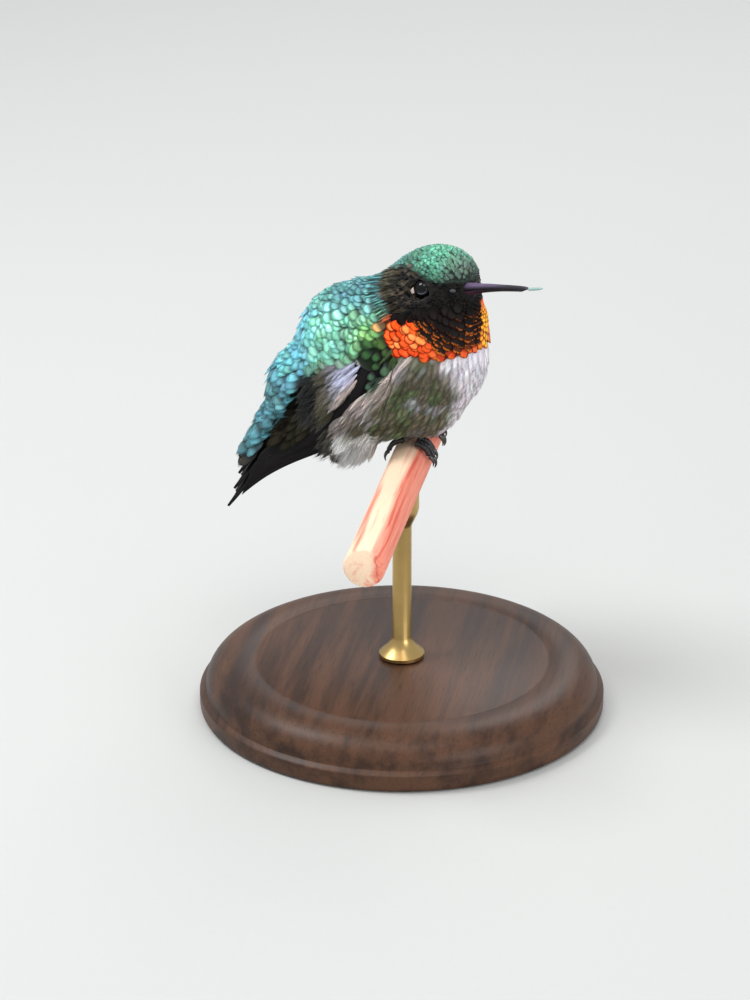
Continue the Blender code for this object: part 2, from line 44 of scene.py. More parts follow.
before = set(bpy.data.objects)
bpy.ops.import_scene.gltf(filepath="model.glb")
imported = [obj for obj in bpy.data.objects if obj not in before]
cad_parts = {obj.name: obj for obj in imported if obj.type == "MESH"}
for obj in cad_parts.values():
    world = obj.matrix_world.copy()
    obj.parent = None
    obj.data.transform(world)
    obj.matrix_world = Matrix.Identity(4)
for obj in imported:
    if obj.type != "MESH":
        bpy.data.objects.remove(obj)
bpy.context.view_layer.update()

MM = 0.001


def node_centre(*names):
    """The middle of the box round these solids, in millimetres."""
    corners = [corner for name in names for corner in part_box(name)]
    return [(min(c[i] for c in corners) + max(c[i] for c in corners)) / 2 / MM for i in range(3)]


# All places below are in millimetres from the dowel's axis, midway between the feet.
ORIGIN = np.array([0.0, node_centre("leg_left", "leg_right")[1], node_centre("perch")[2]])
HEAD_CENTRE = np.array([4.8, -0.8, 28.75])
HEAD_TURN = math.radians(-39.0)
HEAD_LIFT = math.radians(17.0)
HEAD_AXES = np.array(
    Matrix.Rotation(HEAD_TURN, 3, "Z") @ Matrix.Rotation(-HEAD_LIFT, 3, "Y")
)  # columns: along the bill, to its left, up
SIDES = ((1, "left"), (-1, "right"))
PERCH_RADIUS = (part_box("perch")[1].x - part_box("perch")[0].x) / 2 / MM
EYE_PLACE = np.array([0.5, 4.75, 0.35])  # the left eye's middle, in the head's own axes
EYE_RADIUS = 1.5
EYE_LOOK = np.array([0.503, 0.835, 0.221])  # the way the left eye looks, in the head's own axes
BILL_DROP = -1.35
BILL_ROOT = 3.2
BILL_LENGTH = 16.0
BILL_BOW = 0.46


# ---------------------------------------------------------------- small sums


def paint(red, green, blue):
    """A colour from its screen values, 0 to 255, as the linear values that shaders use."""
    levels = (red / 255, green / 255, blue / 255)
    return tuple(s / 12.92 if s <= 0.04045 else ((s + 0.055) / 1.055) ** 2.4 for s in levels)


def to_row(points):
    return (np.asarray(points, float) + ORIGIN) * MM


def from_row(points):
    return np.asarray(points, float) / MM - ORIGIN


def in_head(points):
    """Places as seen from the head: along the bill, to its left, up."""
    return (np.asarray(points, float) - HEAD_CENTRE) @ HEAD_AXES


def from_head(points):
    return np.asarray(points, float) @ HEAD_AXES.T + HEAD_CENTRE


def shares(count):
    """Even steps from 0 to 1."""
    return [number / (count - 1) for number in range(count)]


def step(low, high, value):
    """0 at low, 1 at high, with soft ends."""
    share = np.clip((np.asarray(value, float) - low) / (high - low), 0.0, 1.0)
    return share * share * (3 - 2 * share)


def unit(vectors):
    return vectors / np.maximum(np.linalg.norm(vectors, axis=-1, keepdims=True), 1e-9)


def flattened(vectors, normals):
    """The part of each vector that lies along the surface, at length one."""
    return unit(vectors - normals * (vectors * normals).sum(-1, keepdims=True))


def mottle(points, size, seed):
    """Smooth noise from 0 to 1 whose blotches are about size millimetres across."""
    draw, count = np.random.default_rng(seed), 9
    waves = unit(draw.normal(size=(count, 3))) * (2 * math.pi / (size * draw.uniform(1.3, 2.6, (count, 1))))
    total = np.sin(points @ waves.T + draw.uniform(0, 6.28, count)).sum(-1)
    return np.clip(0.5 + total / 6.5, 0.0, 1.0)


def blend(first, second, share):
    share = np.asarray(share, float)[..., None]
    return np.asarray(first, float) * (1 - share) + np.asarray(second, float) * share


def bill_bow(share):
    """How far the bill's axis bows up from its straight line."""
    return BILL_BOW * np.sin(math.pi * (0.22 + 0.78 * np.clip(share, 0.0, 1.0)))


# ---------------------------------------------------------------- settings


def colour_property(name, description, red, green, blue):
    colour = paint(red, green, blue)
    return FloatVectorProperty(
        name=name, description=description, default=colour, size=3, min=0.0, max=1.0, subtype="COLOR"
    )


def angle_property(name, description, degrees):
    return FloatProperty(name=name, description=description, default=math.radians(degrees), subtype="ANGLE")


def power_property(name, description, watts):
    return FloatProperty(name=name, description=description, default=watts, min=0.0, unit="POWER")


def length_property(name, description, millimetres):
    return FloatProperty(
        name=name, description=description, default=millimetres * MM, min=0.0, precision=5, unit="LENGTH"
    )


class PlumageSettings(bpy.types.PropertyGroup):
    seed: IntProperty(name="Seed", description="Seed of every random draw in the coat", default=11)
    crown: colour_property("Crown", "Emerald of the crown", 100, 178, 148)
    crown_dull: colour_property("Forehead", "Duller green of the forehead", 118, 150, 130)
    mask: colour_property("Mask", "Black-brown round the eye", 8, 7, 6)
    mask_streak: colour_property("Streaks", "Grey-brown hairs behind the eye", 112, 106, 86)
    # The gorget's dark is partly the real black chin and partly painted shade on its iridescent scales.
    gorget_dark: colour_property("Gorget dark", "Where the gorget looks black", 20, 13, 11)
    # Painted glints: the gold on the edges of the dark gorget scales.
    gorget_glint: colour_property("Gorget gold", "Golden edges on the dark scales", 204, 106, 36)
    gorget_orange: colour_property("Gorget orange", "Glowing orange-red", 255, 82, 24)
    gorget_pale: colour_property("Gorget light", "Lightest orange of the gorget", 255, 150, 78)
    gorget_yellow: colour_property("Gorget yellow", "Yellow of the far edge", 255, 186, 50)
    back_top: colour_property("Shoulders", "Grey-turquoise between the shoulders", 108, 172, 176)
    back_mint: colour_property("Back", "Bright mint of the back", 158, 240, 212)
    back_green: colour_property("Back side", "Leaf green beside the gorget", 128, 178, 104)
    rump_blue: colour_property("Rump", "Sky blue of the rump", 134, 218, 232)
    covert: colour_property("Wing coverts", "Dark green discs on the wing", 52, 104, 50)
    tertial: colour_property("Inner wing", "Dull green-black beside the rump", 9, 11, 7)
    flank: colour_property("Flank", "Grey-brown of the flank", 108, 102, 82)
    flank_olive: colour_property("Flank olive", "Olive blotches low on the flank", 80, 76, 34)
    flank_green: colour_property("Flank green", "Green feather tips on the flank", 92, 116, 68)
    lilac: colour_property("Lilac down", "Lilac-grey down over the wing", 228, 230, 255)
    fringe: colour_property("Fringe", "Pinkish grey fringe at the wing", 244, 226, 220)
    white: colour_property("Breast", "Grey-white of the breast", 240, 234, 240)
    vent: colour_property("Vent", "White of the vent tuft", 255, 255, 252)


class FlightSettings(bpy.types.PropertyGroup):
    blade: colour_property("Flight feathers", "Brown-black of wings and tail", 8, 7, 7)
    sheen: colour_property("Sheen", "Purple-brown sheen of the vanes", 28, 23, 26)
    tail_green: colour_property("Middle tail", "Blue-green of the middle pair", 30, 78, 74)
    vane: length_property("Vane thickness", "Thickness of one flight feather", 0.09)


class HeadSettings(bpy.types.PropertyGroup):
    bill: colour_property("Bill", "Purple-black horn", 22, 16, 26)
    culmen_sheen: colour_property("Culmen", "Blue-grey sheen along the ridge", 108, 88, 122)
    nostril: colour_property("Nostril flap", "Grey skin over the nostril", 60, 64, 66)
    tongue: colour_property("Tongue", "Pale wet tongue", 150, 182, 174)
    eye: colour_property("Eye", "Near-black eye", 7, 6, 7)
    lid: colour_property("Eyelid", "Blue-grey lid skin", 100, 110, 130)


class PerchSettings(bpy.types.PropertyGroup):
    wood: colour_property("Perch", "Salmon wood", 250, 160, 134)
    # Painted light: the cream of the dowel's sunlit side.
    lit_cream: colour_property("Bleached wood", "Sun-bleached cream band", 252, 224, 192)
    grain: colour_property("Grain", "Reddish grain and cracks", 206, 70, 54)
    foot: colour_property("Foot", "Black scaly skin", 14, 11, 12)
    # Painted highlights on the edges of the foot's scutes.
    foot_scute_glint: colour_property("Foot edges", "Blue-grey on the scutes' edges", 104, 92, 104)


class StandSettings(bpy.types.PropertyGroup):
    walnut: colour_property("Walnut", "Heartwood of the foot", 88, 58, 40)
    walnut_dark: colour_property("Walnut figure", "Dark figure of the foot", 50, 31, 21)
    brass: colour_property("Brass", "Satin brass of the rod", 196, 164, 104)


class StageSettings(bpy.types.PropertyGroup):
    turn: angle_property("Camera turn", "Round the bird from its right side", 10)
    raised: angle_property("Camera height", "Above the level", 23)
    distance: length_property("Camera distance", "From the feet to the lens", 620.0)
    lens: FloatProperty(name="Lens", description="Focal length in millimetres", default=141.3, min=20.0)
    key: power_property("Key light", "Soft light, high in front", 0.6)
    fill: power_property("Fill light", "Soft light from the right", 1.0)
    back: power_property("Back light", "Soft light from behind", 1.0)
    catch: power_property("Catch light", "Small light for the eye", 1.8)
    floor: colour_property("Floor", "Plain pale floor", 198, 198, 195)


def settings(name):
    return getattr(bpy.context.scene, "hummingbird_" + name)


def new_draw(turn):
    """Random draws that are the same on each run, with their own seed for each set of feathers."""
    return np.random.default_rng(settings("plumage").seed + turn)


# ---------------------------------------------------------------- shader maths


def join(tree, socket, value):
    """Links a shader value to a socket, or sets a plain one."""
    if isinstance(value, Shade):
        tree.links.new(value.socket, socket)
    elif value is not None:
        socket.default_value = (*value, 1.0) if socket.type == "RGBA" else value


def calc(tree, operation, *values, clamp=False):
    node = tree.nodes.new("ShaderNodeMath")
    node.operation = operation
    node.use_clamp = clamp
    for socket, value in zip(node.inputs, values):
        join(tree, socket, value)
    return Shade(tree, node.outputs[0])


class Shade:
    """A shader value: arithmetic on it adds Math nodes to its tree."""

    def __init__(self, tree, socket):
        self.tree = tree
        self.socket = socket

    def __add__(self, other):
        return calc(self.tree, "ADD", self, other)

    __radd__ = __add__

    def __sub__(self, other):
        return calc(self.tree, "SUBTRACT", self, other)

    def __rsub__(self, other):
        return calc(self.tree, "SUBTRACT", other, self)

    def __mul__(self, other):
        return calc(self.tree, "MULTIPLY", self, other)

    __rmul__ = __mul__

    def __abs__(self):
        return calc(self.tree, "ABSOLUTE", self)

    def sine(self):
        return calc(self.tree, "SINE", self)

    def clamped(self):
        return calc(self.tree, "ADD", self, 0.0, clamp=True)


class Finish:
    """A material in the making. Constants go straight onto its shader's own sockets."""

    def __init__(self, name, **constants):
        self.material = bpy.data.materials.new(name)
        self.material.use_nodes = True
        self.tree = self.material.node_tree
        self.shader = self.tree.nodes["Principled BSDF"]
        self.feed(**constants)

    def node(self, kind, choices=None, sockets=None, output=0):
        """Adds any node: its own settings first, then values or links for its sockets."""
        node = self.tree.nodes.new(kind)
        for key, value in (choices or {}).items():
            setattr(node, key, value)
        for key, value in (sockets or {}).items():
            join(self.tree, node.inputs[key], value)
        return Shade(self.tree, node.outputs[output])

    def attributes(self, *names):
        """Numbers that the mesh carries from corner to corner."""
        return [self.node("ShaderNodeAttribute", {"attribute_name": name}, output="Fac") for name in names]

    def tint(self):
        """The colour that the mesh carries from corner to corner."""
        return self.node("ShaderNodeAttribute", {"attribute_name": "tint"}, output="Color")

    def mix(self, share, first, second, way="MIX"):
        way = {"data_type": "RGBA", "blend_type": way}
        return self.node("ShaderNodeMix", way, {0: share, 6: first, 7: second}, output=2)

    def scaled(self, colour, amount):
        """A colour made lighter or darker by a number."""
        return self.node("ShaderNodeVectorMath", {"operation": "SCALE"}, {0: colour, "Scale": amount})

    def place(self, stretch=(1.0, 1.0, 1.0)):
        """The place on the object in millimetres, stretched along each axis."""
        spot = self.node("ShaderNodeTexCoord", output="Object")
        size = tuple(s / MM for s in stretch)
        return self.node("ShaderNodeVectorMath", {"operation": "MULTIPLY"}, {0: spot, 1: size})

    def noise(self, scale, detail=3.0, rough=0.5, stretch=(1.0, 1.0, 1.0)):
        """Grain whose blotches are about one millimetre, over the scale and over the stretch."""
        sockets = {"Vector": self.place(stretch), "Scale": scale, "Detail": detail, "Roughness": rough}
        return self.node("ShaderNodeTexNoise", sockets=sockets)

    def between(self, value, low, high, start=0.0, end=1.0):
        """From start to end as the value goes from low to high, with soft ends."""
        return self.node(
            "ShaderNodeMapRange",
            {"interpolation_type": "SMOOTHSTEP"},
            {"Value": value, "From Min": low, "From Max": high, "To Min": start, "To Max": end},
        )

    def bump(self, height, strength, depth):
        sockets = {"Height": height, "Strength": strength, "Distance": depth * MM}
        return self.node("ShaderNodeBump", sockets=sockets)

    def feed(self, **shades):
        """Sets or links the shader's own sockets, and gives the material."""
        for socket, shade in shades.items():
            join(self.tree, self.shader.inputs[socket.replace("_", " ")], shade)
        return self.material

    def grained(self, grain, colour, shade, rough=None, relief=None):
        """Ends a finish whose shade, roughness and relief all follow one grain.

        shade and rough are a level and how much the grain adds to it. relief is a bump's strength
        and depth.
        """
        return self.feed(
            Base_Color=self.scaled(colour, shade[0] + shade[1] * grain),
            Roughness=rough and rough[0] + rough[1] * grain,
            Normal=relief and self.bump(grain, *relief),
        )


# ---------------------------------------------------------------- meshes


def add_mesh(name, points, faces, material, in_row=False):
    """A mesh object from arrays of places and of faces, which may be of several sizes."""
    mesh = bpy.data.meshes.new(name)
    points = points if in_row else to_row(points)
    blocks = faces if isinstance(faces, (list, tuple)) else [faces]
    blocks = [np.asarray(block, np.int32) for block in blocks if len(block)]
    mesh.vertices.add(len(points))
    mesh.vertices.foreach_set("co", np.ascontiguousarray(points, np.float32).ravel())
    mesh.loops.add(sum(block.size for block in blocks))
    mesh.loops.foreach_set("vertex_index", np.concatenate([block.ravel() for block in blocks]))
    mesh.polygons.add(sum(len(block) for block in blocks))
    starts, at = [], 0
    for block in blocks:
        starts.append(at + np.arange(len(block), dtype=np.int32) * block.shape[1])
        at += block.size
    mesh.polygons.foreach_set("loop_start", np.concatenate(starts))
    mesh.update(calc_edges=True)
    mesh.polygons.foreach_set("use_smooth", np.ones(len(mesh.polygons), bool))
    obj = bpy.data.objects.new(name, mesh)
    bpy.context.scene.collection.objects.link(obj)
    if material:
        mesh.materials.append(material)
    return obj


def set_numbers(obj, **layers):
    """Gives a mesh numbers, one for each corner, that its finish reads by name."""
    for name, values in layers.items():
        layer = obj.data.attributes.new(name, "FLOAT", "POINT")
        layer.data.foreach_set("value", np.ascontiguousarray(values, np.float32).ravel())


def set_tint(obj, values):
    layer = obj.data.attributes.new("tint", "FLOAT_COLOR", "POINT")
    full = np.ones((len(values), 4), np.float32)
    full[:, :3] = values
    layer.data.foreach_set("color", full.ravel())


def mount(obj, slot, *replaced):
    """Puts a finished piece on the bird and hides the solids it replaces; the slot is not used."""
    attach(obj, "root")
    if replaced:
        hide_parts(*replaced)
    return obj


def read(items, key, width, kind=float):
    """One property of all items of a mesh, a row for each item."""
    values = np.zeros(len(items) * width, kind)
    items.foreach_get(key, values)
    return values.reshape(-1, width)


def vertex_arrays(mesh):
    """Places, in millimetres from the perch, and normals of a mesh's corners."""
    return from_row(read(mesh.vertices, "co", 3)), read(mesh.vertices, "normal", 3)


def move_vertices(mesh, places):
    mesh.vertices.foreach_set("co", to_row(places).ravel())
    mesh.update()


def soften(mesh, rounds):
    """Smooths a mesh, with a push outwards after each pull inwards so that it doesn't shrink."""
    places, _ = vertex_arrays(mesh)
    ends = read(mesh.edges, "vertices", 2, np.int32)
    here, there = np.concatenate([ends, ends[:, ::-1]]).T
    neighbours = np.bincount(here, minlength=len(places))
    for _ in range(rounds):
        for pull in (0.5, -0.515):
            middle = [np.bincount(here, places[there, axis], len(places)) / neighbours for axis in range(3)]
            places = places + (np.stack(middle, 1) - places) * pull
    move_vertices(mesh, places)


def melted(mesh, voxel, rounds):
    """Melts all the closed bodies in a mesh into one soft surface."""
    obj = bpy.data.objects.new("melt", mesh)
    bpy.context.scene.collection.objects.link(obj)
    remesh = obj.modifiers.new("melt", "REMESH")
    remesh.mode = "VOXEL"
    remesh.voxel_size = voxel * MM
    bpy.context.view_layer.update()
    graph = bpy.context.evaluated_depsgraph_get()
    result = bpy.data.meshes.new_from_object(obj.evaluated_get(graph))
    bpy.data.objects.remove(obj)
    soften(result, rounds)
    return result


def ring_faces(rings, around):
    """Faces that join rings of places, and that close both ends on two last places."""
    i = np.arange(around)
    j = (i + 1) % around
    starts = np.arange(rings - 1)[:, None] * around
    quads = np.stack([starts + i, starts + j, starts + around + j, starts + around + i], -1)
    first, last = np.full(around, rings * around), (rings - 1) * around
    ends = [np.stack([first, j, i], 1), np.stack([first + 1, last + i, last + j], 1)]
    return [quads.reshape(-1, 4), np.concatenate(ends)]


def tube(stations, segments, shape=None):
    """A body through a run of (centre, sideways, up, radius), closed at both ends."""
    points = []
    for centre, aside, up, radius in stations:
        for i in range(segments):
            turn = 2 * math.pi * i / segments
            a, b = (math.cos(turn), math.sin(turn)) if shape is None else shape(turn)
            points.append(centre + aside * (a * radius) + up * (b * radius))
    points += [stations[0][0], stations[-1][0]]
    return np.array(points), ring_faces(len(stations), segments)


def lathe(profile, around):
    """A turned body from (radius, height) steps that begin and end on its axis."""
    turns = 2 * math.pi * np.arange(around) / around
    radii, heights = np.array(profile[1:-1]).T
    x, y = np.outer(radii, np.cos(turns)), np.outer(radii, np.sin(turns))
    rings = np.stack([x, y, np.repeat(heights[:, None], around, 1)], -1).reshape(-1, 3)
    ends = [(0, 0, profile[0][1]), (0, 0, profile[-1][1])]
    return np.concatenate([rings, ends]), ring_faces(len(radii), around)


def joined(bodies):
    """Several bodies' places and blocks of faces as one body's."""
    starts = np.cumsum([0, *(len(points) for points, _ in bodies)])
    blocks = [
        np.concatenate([block + start for block, start in zip(alike, starts)])
        for alike in zip(*(faces for _, faces in bodies))
    ]
    return np.concatenate([points for points, _ in bodies]), blocks


def gathered(names, growth):
    """Copies of the solids, each grown outwards by some millimetres, in one mesh."""
    whole = bmesh.new()
    for name in names:
        piece = bmesh.new()
        piece.from_mesh(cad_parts[name].data)
        bmesh.ops.remove_doubles(piece, verts=piece.verts, dist=1e-6)
        bmesh.ops.recalc_face_normals(piece, faces=piece.faces)
        piece.normal_update()
        for vert in piece.verts:
            vert.co += vert.normal * growth * MM
        copy = bpy.data.meshes.new(name)
        piece.to_mesh(copy)
        piece.free()
        whole.from_mesh(copy)
        bpy.data.meshes.remove(copy)
    mesh = bpy.data.meshes.new("gathered")
    whole.to_mesh(mesh)
    whole.free()
    return mesh


# ---------------------------------------------------------------- the lie of the coat

FLESH = ("head", "throat", "neck", "breast", "belly", "back", "rump", "wing_left_arm", "wing_right_arm")
NAPE = np.array([-6.0, -1.0, 29.5])
BLADES = ("wing_left_primaries", "wing_right_primaries") + tuple(
    f"tail_feather_{side}_{rank}" for side in ("left", "right") for rank in range(1, 6)
)


def coat_depth(points):
    """How far the skin lies under the tips of the feathers."""
    far = np.linalg.norm(in_head(points), axis=-1)
    nape = np.linalg.norm(points - NAPE, axis=-1)
    return 0.12 + 0.16 * step(5.5, 8.0, far) + 0.2 * step(9.5, 14.0, far) - 0.4 * step(6.0, 2.0, nape)


class Surface:
    """A triangulated surface that feathers lie on."""

    def __init__(self, mesh):
        self.places, self.normals = vertex_arrays(mesh)
        mesh.calc_loop_triangles()
        self.corners = read(mesh.loop_triangles, "vertices", 3, np.int32)
        self.loops = read(mesh.loop_triangles, "loops", 3, np.int32)
        self.tree = BVHTree.FromPolygons(self.places.tolist(), self.corners.tolist())

    def weights(self, points, which):
        a, b, c = (self.places[self.corners[which, i]] for i in range(3))
        ab, ac, ap = b - a, c - a, points - a
        d00, d01, d11 = (ab * ab).sum(1), (ab * ac).sum(1), (ac * ac).sum(1)
        d20, d21 = (ap * ab).sum(1), (ap * ac).sum(1)
        base = np.maximum(d00 * d11 - d01 * d01, 1e-12)
        v, w = (d11 * d20 - d01 * d21) / base, (d00 * d21 - d01 * d20) / base
        return np.clip(np.stack([1 - v - w, v, w], 1), 0, 1)

    def drop(self, points):
        """The nearest places on the surface, with smooth normals there."""
        shape = points.shape
        flat = points.reshape(-1, 3)
        found = [self.tree.find_nearest(point)[::2] for point in flat.tolist()]
        places = np.array([tuple(place) for place, _ in found])
        which = np.array([index for _, index in found])
        share = self.weights(places, which)
        normals = unit((self.normals[self.corners[which]] * share[..., None]).sum(1))
        return places.reshape(shape), normals.reshape(shape), which

    def scatter(self, count, draw):
        """Random places all over the surface."""
        a, b, c = (self.places[self.corners[:, i]] for i in range(3))
        area = np.linalg.norm(np.cross(b - a, c - a), axis=1)
        which = draw.choice(len(area), count, p=area / area.sum())
        u, v = draw.random(count), draw.random(count)
        flip = u + v > 1
        u, v = np.where(flip, 1 - u, u), np.where(flip, 1 - v, v)
        share = np.stack([1 - u - v, u, v], 1)
        corners = self.corners[which]
        places = (self.places[corners] * share[..., None]).sum(1)
        return places, unit((self.normals[corners] * share[..., None]).sum(1))


def skin_flow(points, normals):
    """The direction the feathers point at each place: back from the bill and down to the tail."""
    head = in_head(points)
    away = head - np.array([6.2, 0.0, -1.0])
    away[:, 2] *= 0.9
    over_head = away @ HEAD_AXES.T
    down_body = unit(points - np.array([3.5, -0.5, 27.0])) + 0.75 * np.array([-0.78, 0.0, -0.62])
    low = step(9.0, 2.0, points[:, 2])[:, None]
    down_body = down_body + low * np.array([-0.5, 0.0, -0.5])
    share = step(8.6, 12.5, np.linalg.norm(head, axis=1))[:, None]
    return flattened(unit(over_head) * (1 - share) + unit(down_body) * share, normals)


@functools.lru_cache(maxsize=None)
def lie_surface():
    """The skin, with the primaries and the tail melted into it, so that feathers pass over them."""
    whole = bmesh.new()
    whole.from_mesh(bpy.data.objects["skin"].data)
    whole.from_mesh(gathered(BLADES, 0.12))
    mesh = bpy.data.meshes.new("lie")
    whole.to_mesh(mesh)
    whole.free()
    soft = melted(mesh, voxel=0.5, rounds=4)
    surface = Surface(soft)
    bpy.data.meshes.remove(soft)
    return surface


@functools.lru_cache(maxsize=None)
def skin_map():
    """The skin's surface and the places of its corners on its own unwrap."""
    mesh = bpy.data.objects["skin"].data
    return Surface(mesh), read(mesh.uv_layers["OFBake"].data, "uv", 2)


# ---------------------------------------------------------------- regions and markings


def side_line(x):
    """Height of the line where the upper parts end on each side."""
    stops = (-26, -24, -22.4, -20, -18.5, -16, -12, -8, -4, 4, 8)
    return np.interp(x, stops, (-1, 1.5, 4.2, 8, 11, 14.4, 17.6, 18.4, 21.6, 24, 26))


def slit_rear(z):
    """The front edge of the down that covers the wing's rear."""
    return np.interp(z, (3, 7.3, 11.2, 13.2, 15.7, 20), (-13.0, -11.8, -10.6, -9.0, -7.0, -6.6))


def slit_front(z):
    """The rear edge of the flank's fringe over the wing."""
    return np.interp(z, (3, 5.9, 9.2, 12.1, 14.4, 17.5, 20.4), (-12.4, -11.6, -10.0, -7.7, -5.5, -3.0, -1.4))


def white_edge(z):
    """The side edge of the white breast."""
    return np.interp(z, (2, 8.7, 12.5, 16.4, 19.7), (3.5, 6.4, 7.2, 6.0, 3.8))


def crown_edge(f):
    """Height, seen from the head, of the crown's lower edge."""
    return np.interp(f, (-8, -5, -2, 0, 2, 3.2, 4.7, 6.4), (4.2, 3.8, 4.1, 3.2, 1.8, 1.1, 0.8, -0.3))


class Places:
    """Named measures of places on the bird that the regions are told by."""

    def __init__(self, points):
        self.x, self.y, self.z = points.T
        self.out = np.abs(self.y)
        head = in_head(points)
        self.f, self.l, self.u = head.T
        self.wide = np.abs(self.l)
        self.far = np.linalg.norm(head, axis=1)
        # The bearing from the throat's middle, in degrees; right of the bill is negative.
        self.around = np.degrees(np.arctan2(self.l, self.f + 1.5))
        foot = -10.7 + 0.45 * np.maximum(0, self.wide - 6.5) + 1.2 * np.maximum(0, -self.f - 0.6)
        top = np.where(self.f > 4.4, -1.9, -2.5)
        # How far inside the gorget each place is, from its nearest edge.
        self.in_gorget = np.minimum.reduce([self.u - foot, top - self.u, self.f + 3.9, 12.6 - self.wide])
        # The same for a scale's root, since the scale runs on towards the gorget's foot and rear.
        overhang = 1.3 + 0.65 * step(10, 40, np.abs(self.around))
        rear = self.f + 2.6 - 1.0 * step(-8.0, -5.0, self.u)
        self.gorget_room = np.minimum.reduce(
            [self.u - foot - overhang, top - self.u, rear, 12.0 - self.wide]
        )
        behind = np.maximum(0, -self.f - 4.0) * step(5.0, 3.8, self.wide)
        self.above_mask = self.u - crown_edge(self.f) + 0.9 * behind
        self.head = 10.7 - self.far
        self.upper = self.z - side_line(self.x)


ZONES = (
    "bare", "crown", "face", "ear", "gorget", "back", "rump", "covert", "tertial",
    "tuft", "fringe", "flank", "breast", "vent", "undertail",
)


def zones(points):
    """The region each place belongs to, as a number: its order in ZONES."""
    at = Places(points)
    zone = np.full(len(points), ZONES.index("flank"))

    def mark(name, where):
        zone[where] = ZONES.index(name)

    mark("breast", at.x > white_edge(at.z))
    mark("breast", (at.out < 4.2) & (at.z < 9))
    behind = at.x - slit_front(at.z)
    mark("fringe", (behind > 0) & (behind < 3.6) & (at.out > 6.0) & (at.z > 6.4) & (at.x < 1.5))
    mark("vent", (at.z < 6.4) & (at.x < -5.6) & (at.x > -11.2))
    mark("bare", (behind <= 0) & (at.out > 5.0) & (at.z > 0) & (at.x > -30))
    mark("tuft", (at.x < slit_rear(at.z)) & (at.x > -15.2) & (at.z > 8.6) & (at.out > 4))
    mark("bare", (at.x < -12.8) & (at.z < 8.6))
    below = side_line(at.x) - 6.5
    mark("undertail", (at.x <= -11.0) & (at.x > -17.5) & (at.out <= 4.4) & (at.z < np.minimum(below, 5.0)))
    mark("tertial", (at.x <= -15.2) & (at.x > -22.5) & (at.out > 3.4) & (at.z > 4.5))
    mark("back", (at.upper > 0) & (at.x > -14.5) & (at.x < 5.0))
    mark("rump", (at.upper > 0) & (at.x <= -14.5) & (at.x > -25.5) & ((at.out < 7) | (at.z > 6)))
    near_head = (at.head > 0) & (at.z > 21)
    mark("ear", near_head)
    mark("face", near_head & (at.far < 8.2) & (at.f > -2.5))
    mark("crown", near_head & (at.above_mask > 0))
    mark("gorget", at.in_gorget > 0.8)
    mark("bare", covert_patch(at) > 0.5)
    eye = np.stack([at.f - EYE_PLACE[0], at.wide - EYE_PLACE[1], at.u - EYE_PLACE[2]], 1)
    mark("bare", np.linalg.norm(eye, axis=1) < 1.6)
    bill = np.hypot(at.l, at.u - BILL_DROP - bill_bow((at.f - BILL_ROOT) / BILL_LENGTH))
    mark("bare", (at.f > 4.9) & (bill < 1.1))
    mark("bare", (np.hypot(at.x, at.z) < PERCH_RADIUS + 0.9) & (at.out < 12))
    return zone


DISC_OLIVE = (0.07, 0.11, 0.015)
DISC_BLUE_GREEN = (0.06, 0.14, 0.08)
GORGET_PINK = (1.0, 0.24, 0.13)


def covert_patch(at):
    """The small field of green discs on the front of each folded wing."""
    disc = ((at.x + 4.1) / 3.6) ** 2 + ((at.z - 19.7) / 2.5) ** 2
    disc = np.minimum(disc, ((at.x + 5.5) / 1.9) ** 2 + ((at.z - 16.4) / 2.6) ** 2)
    return step(1.1, 0.9, disc) * step(7.0, 8.0, at.out)


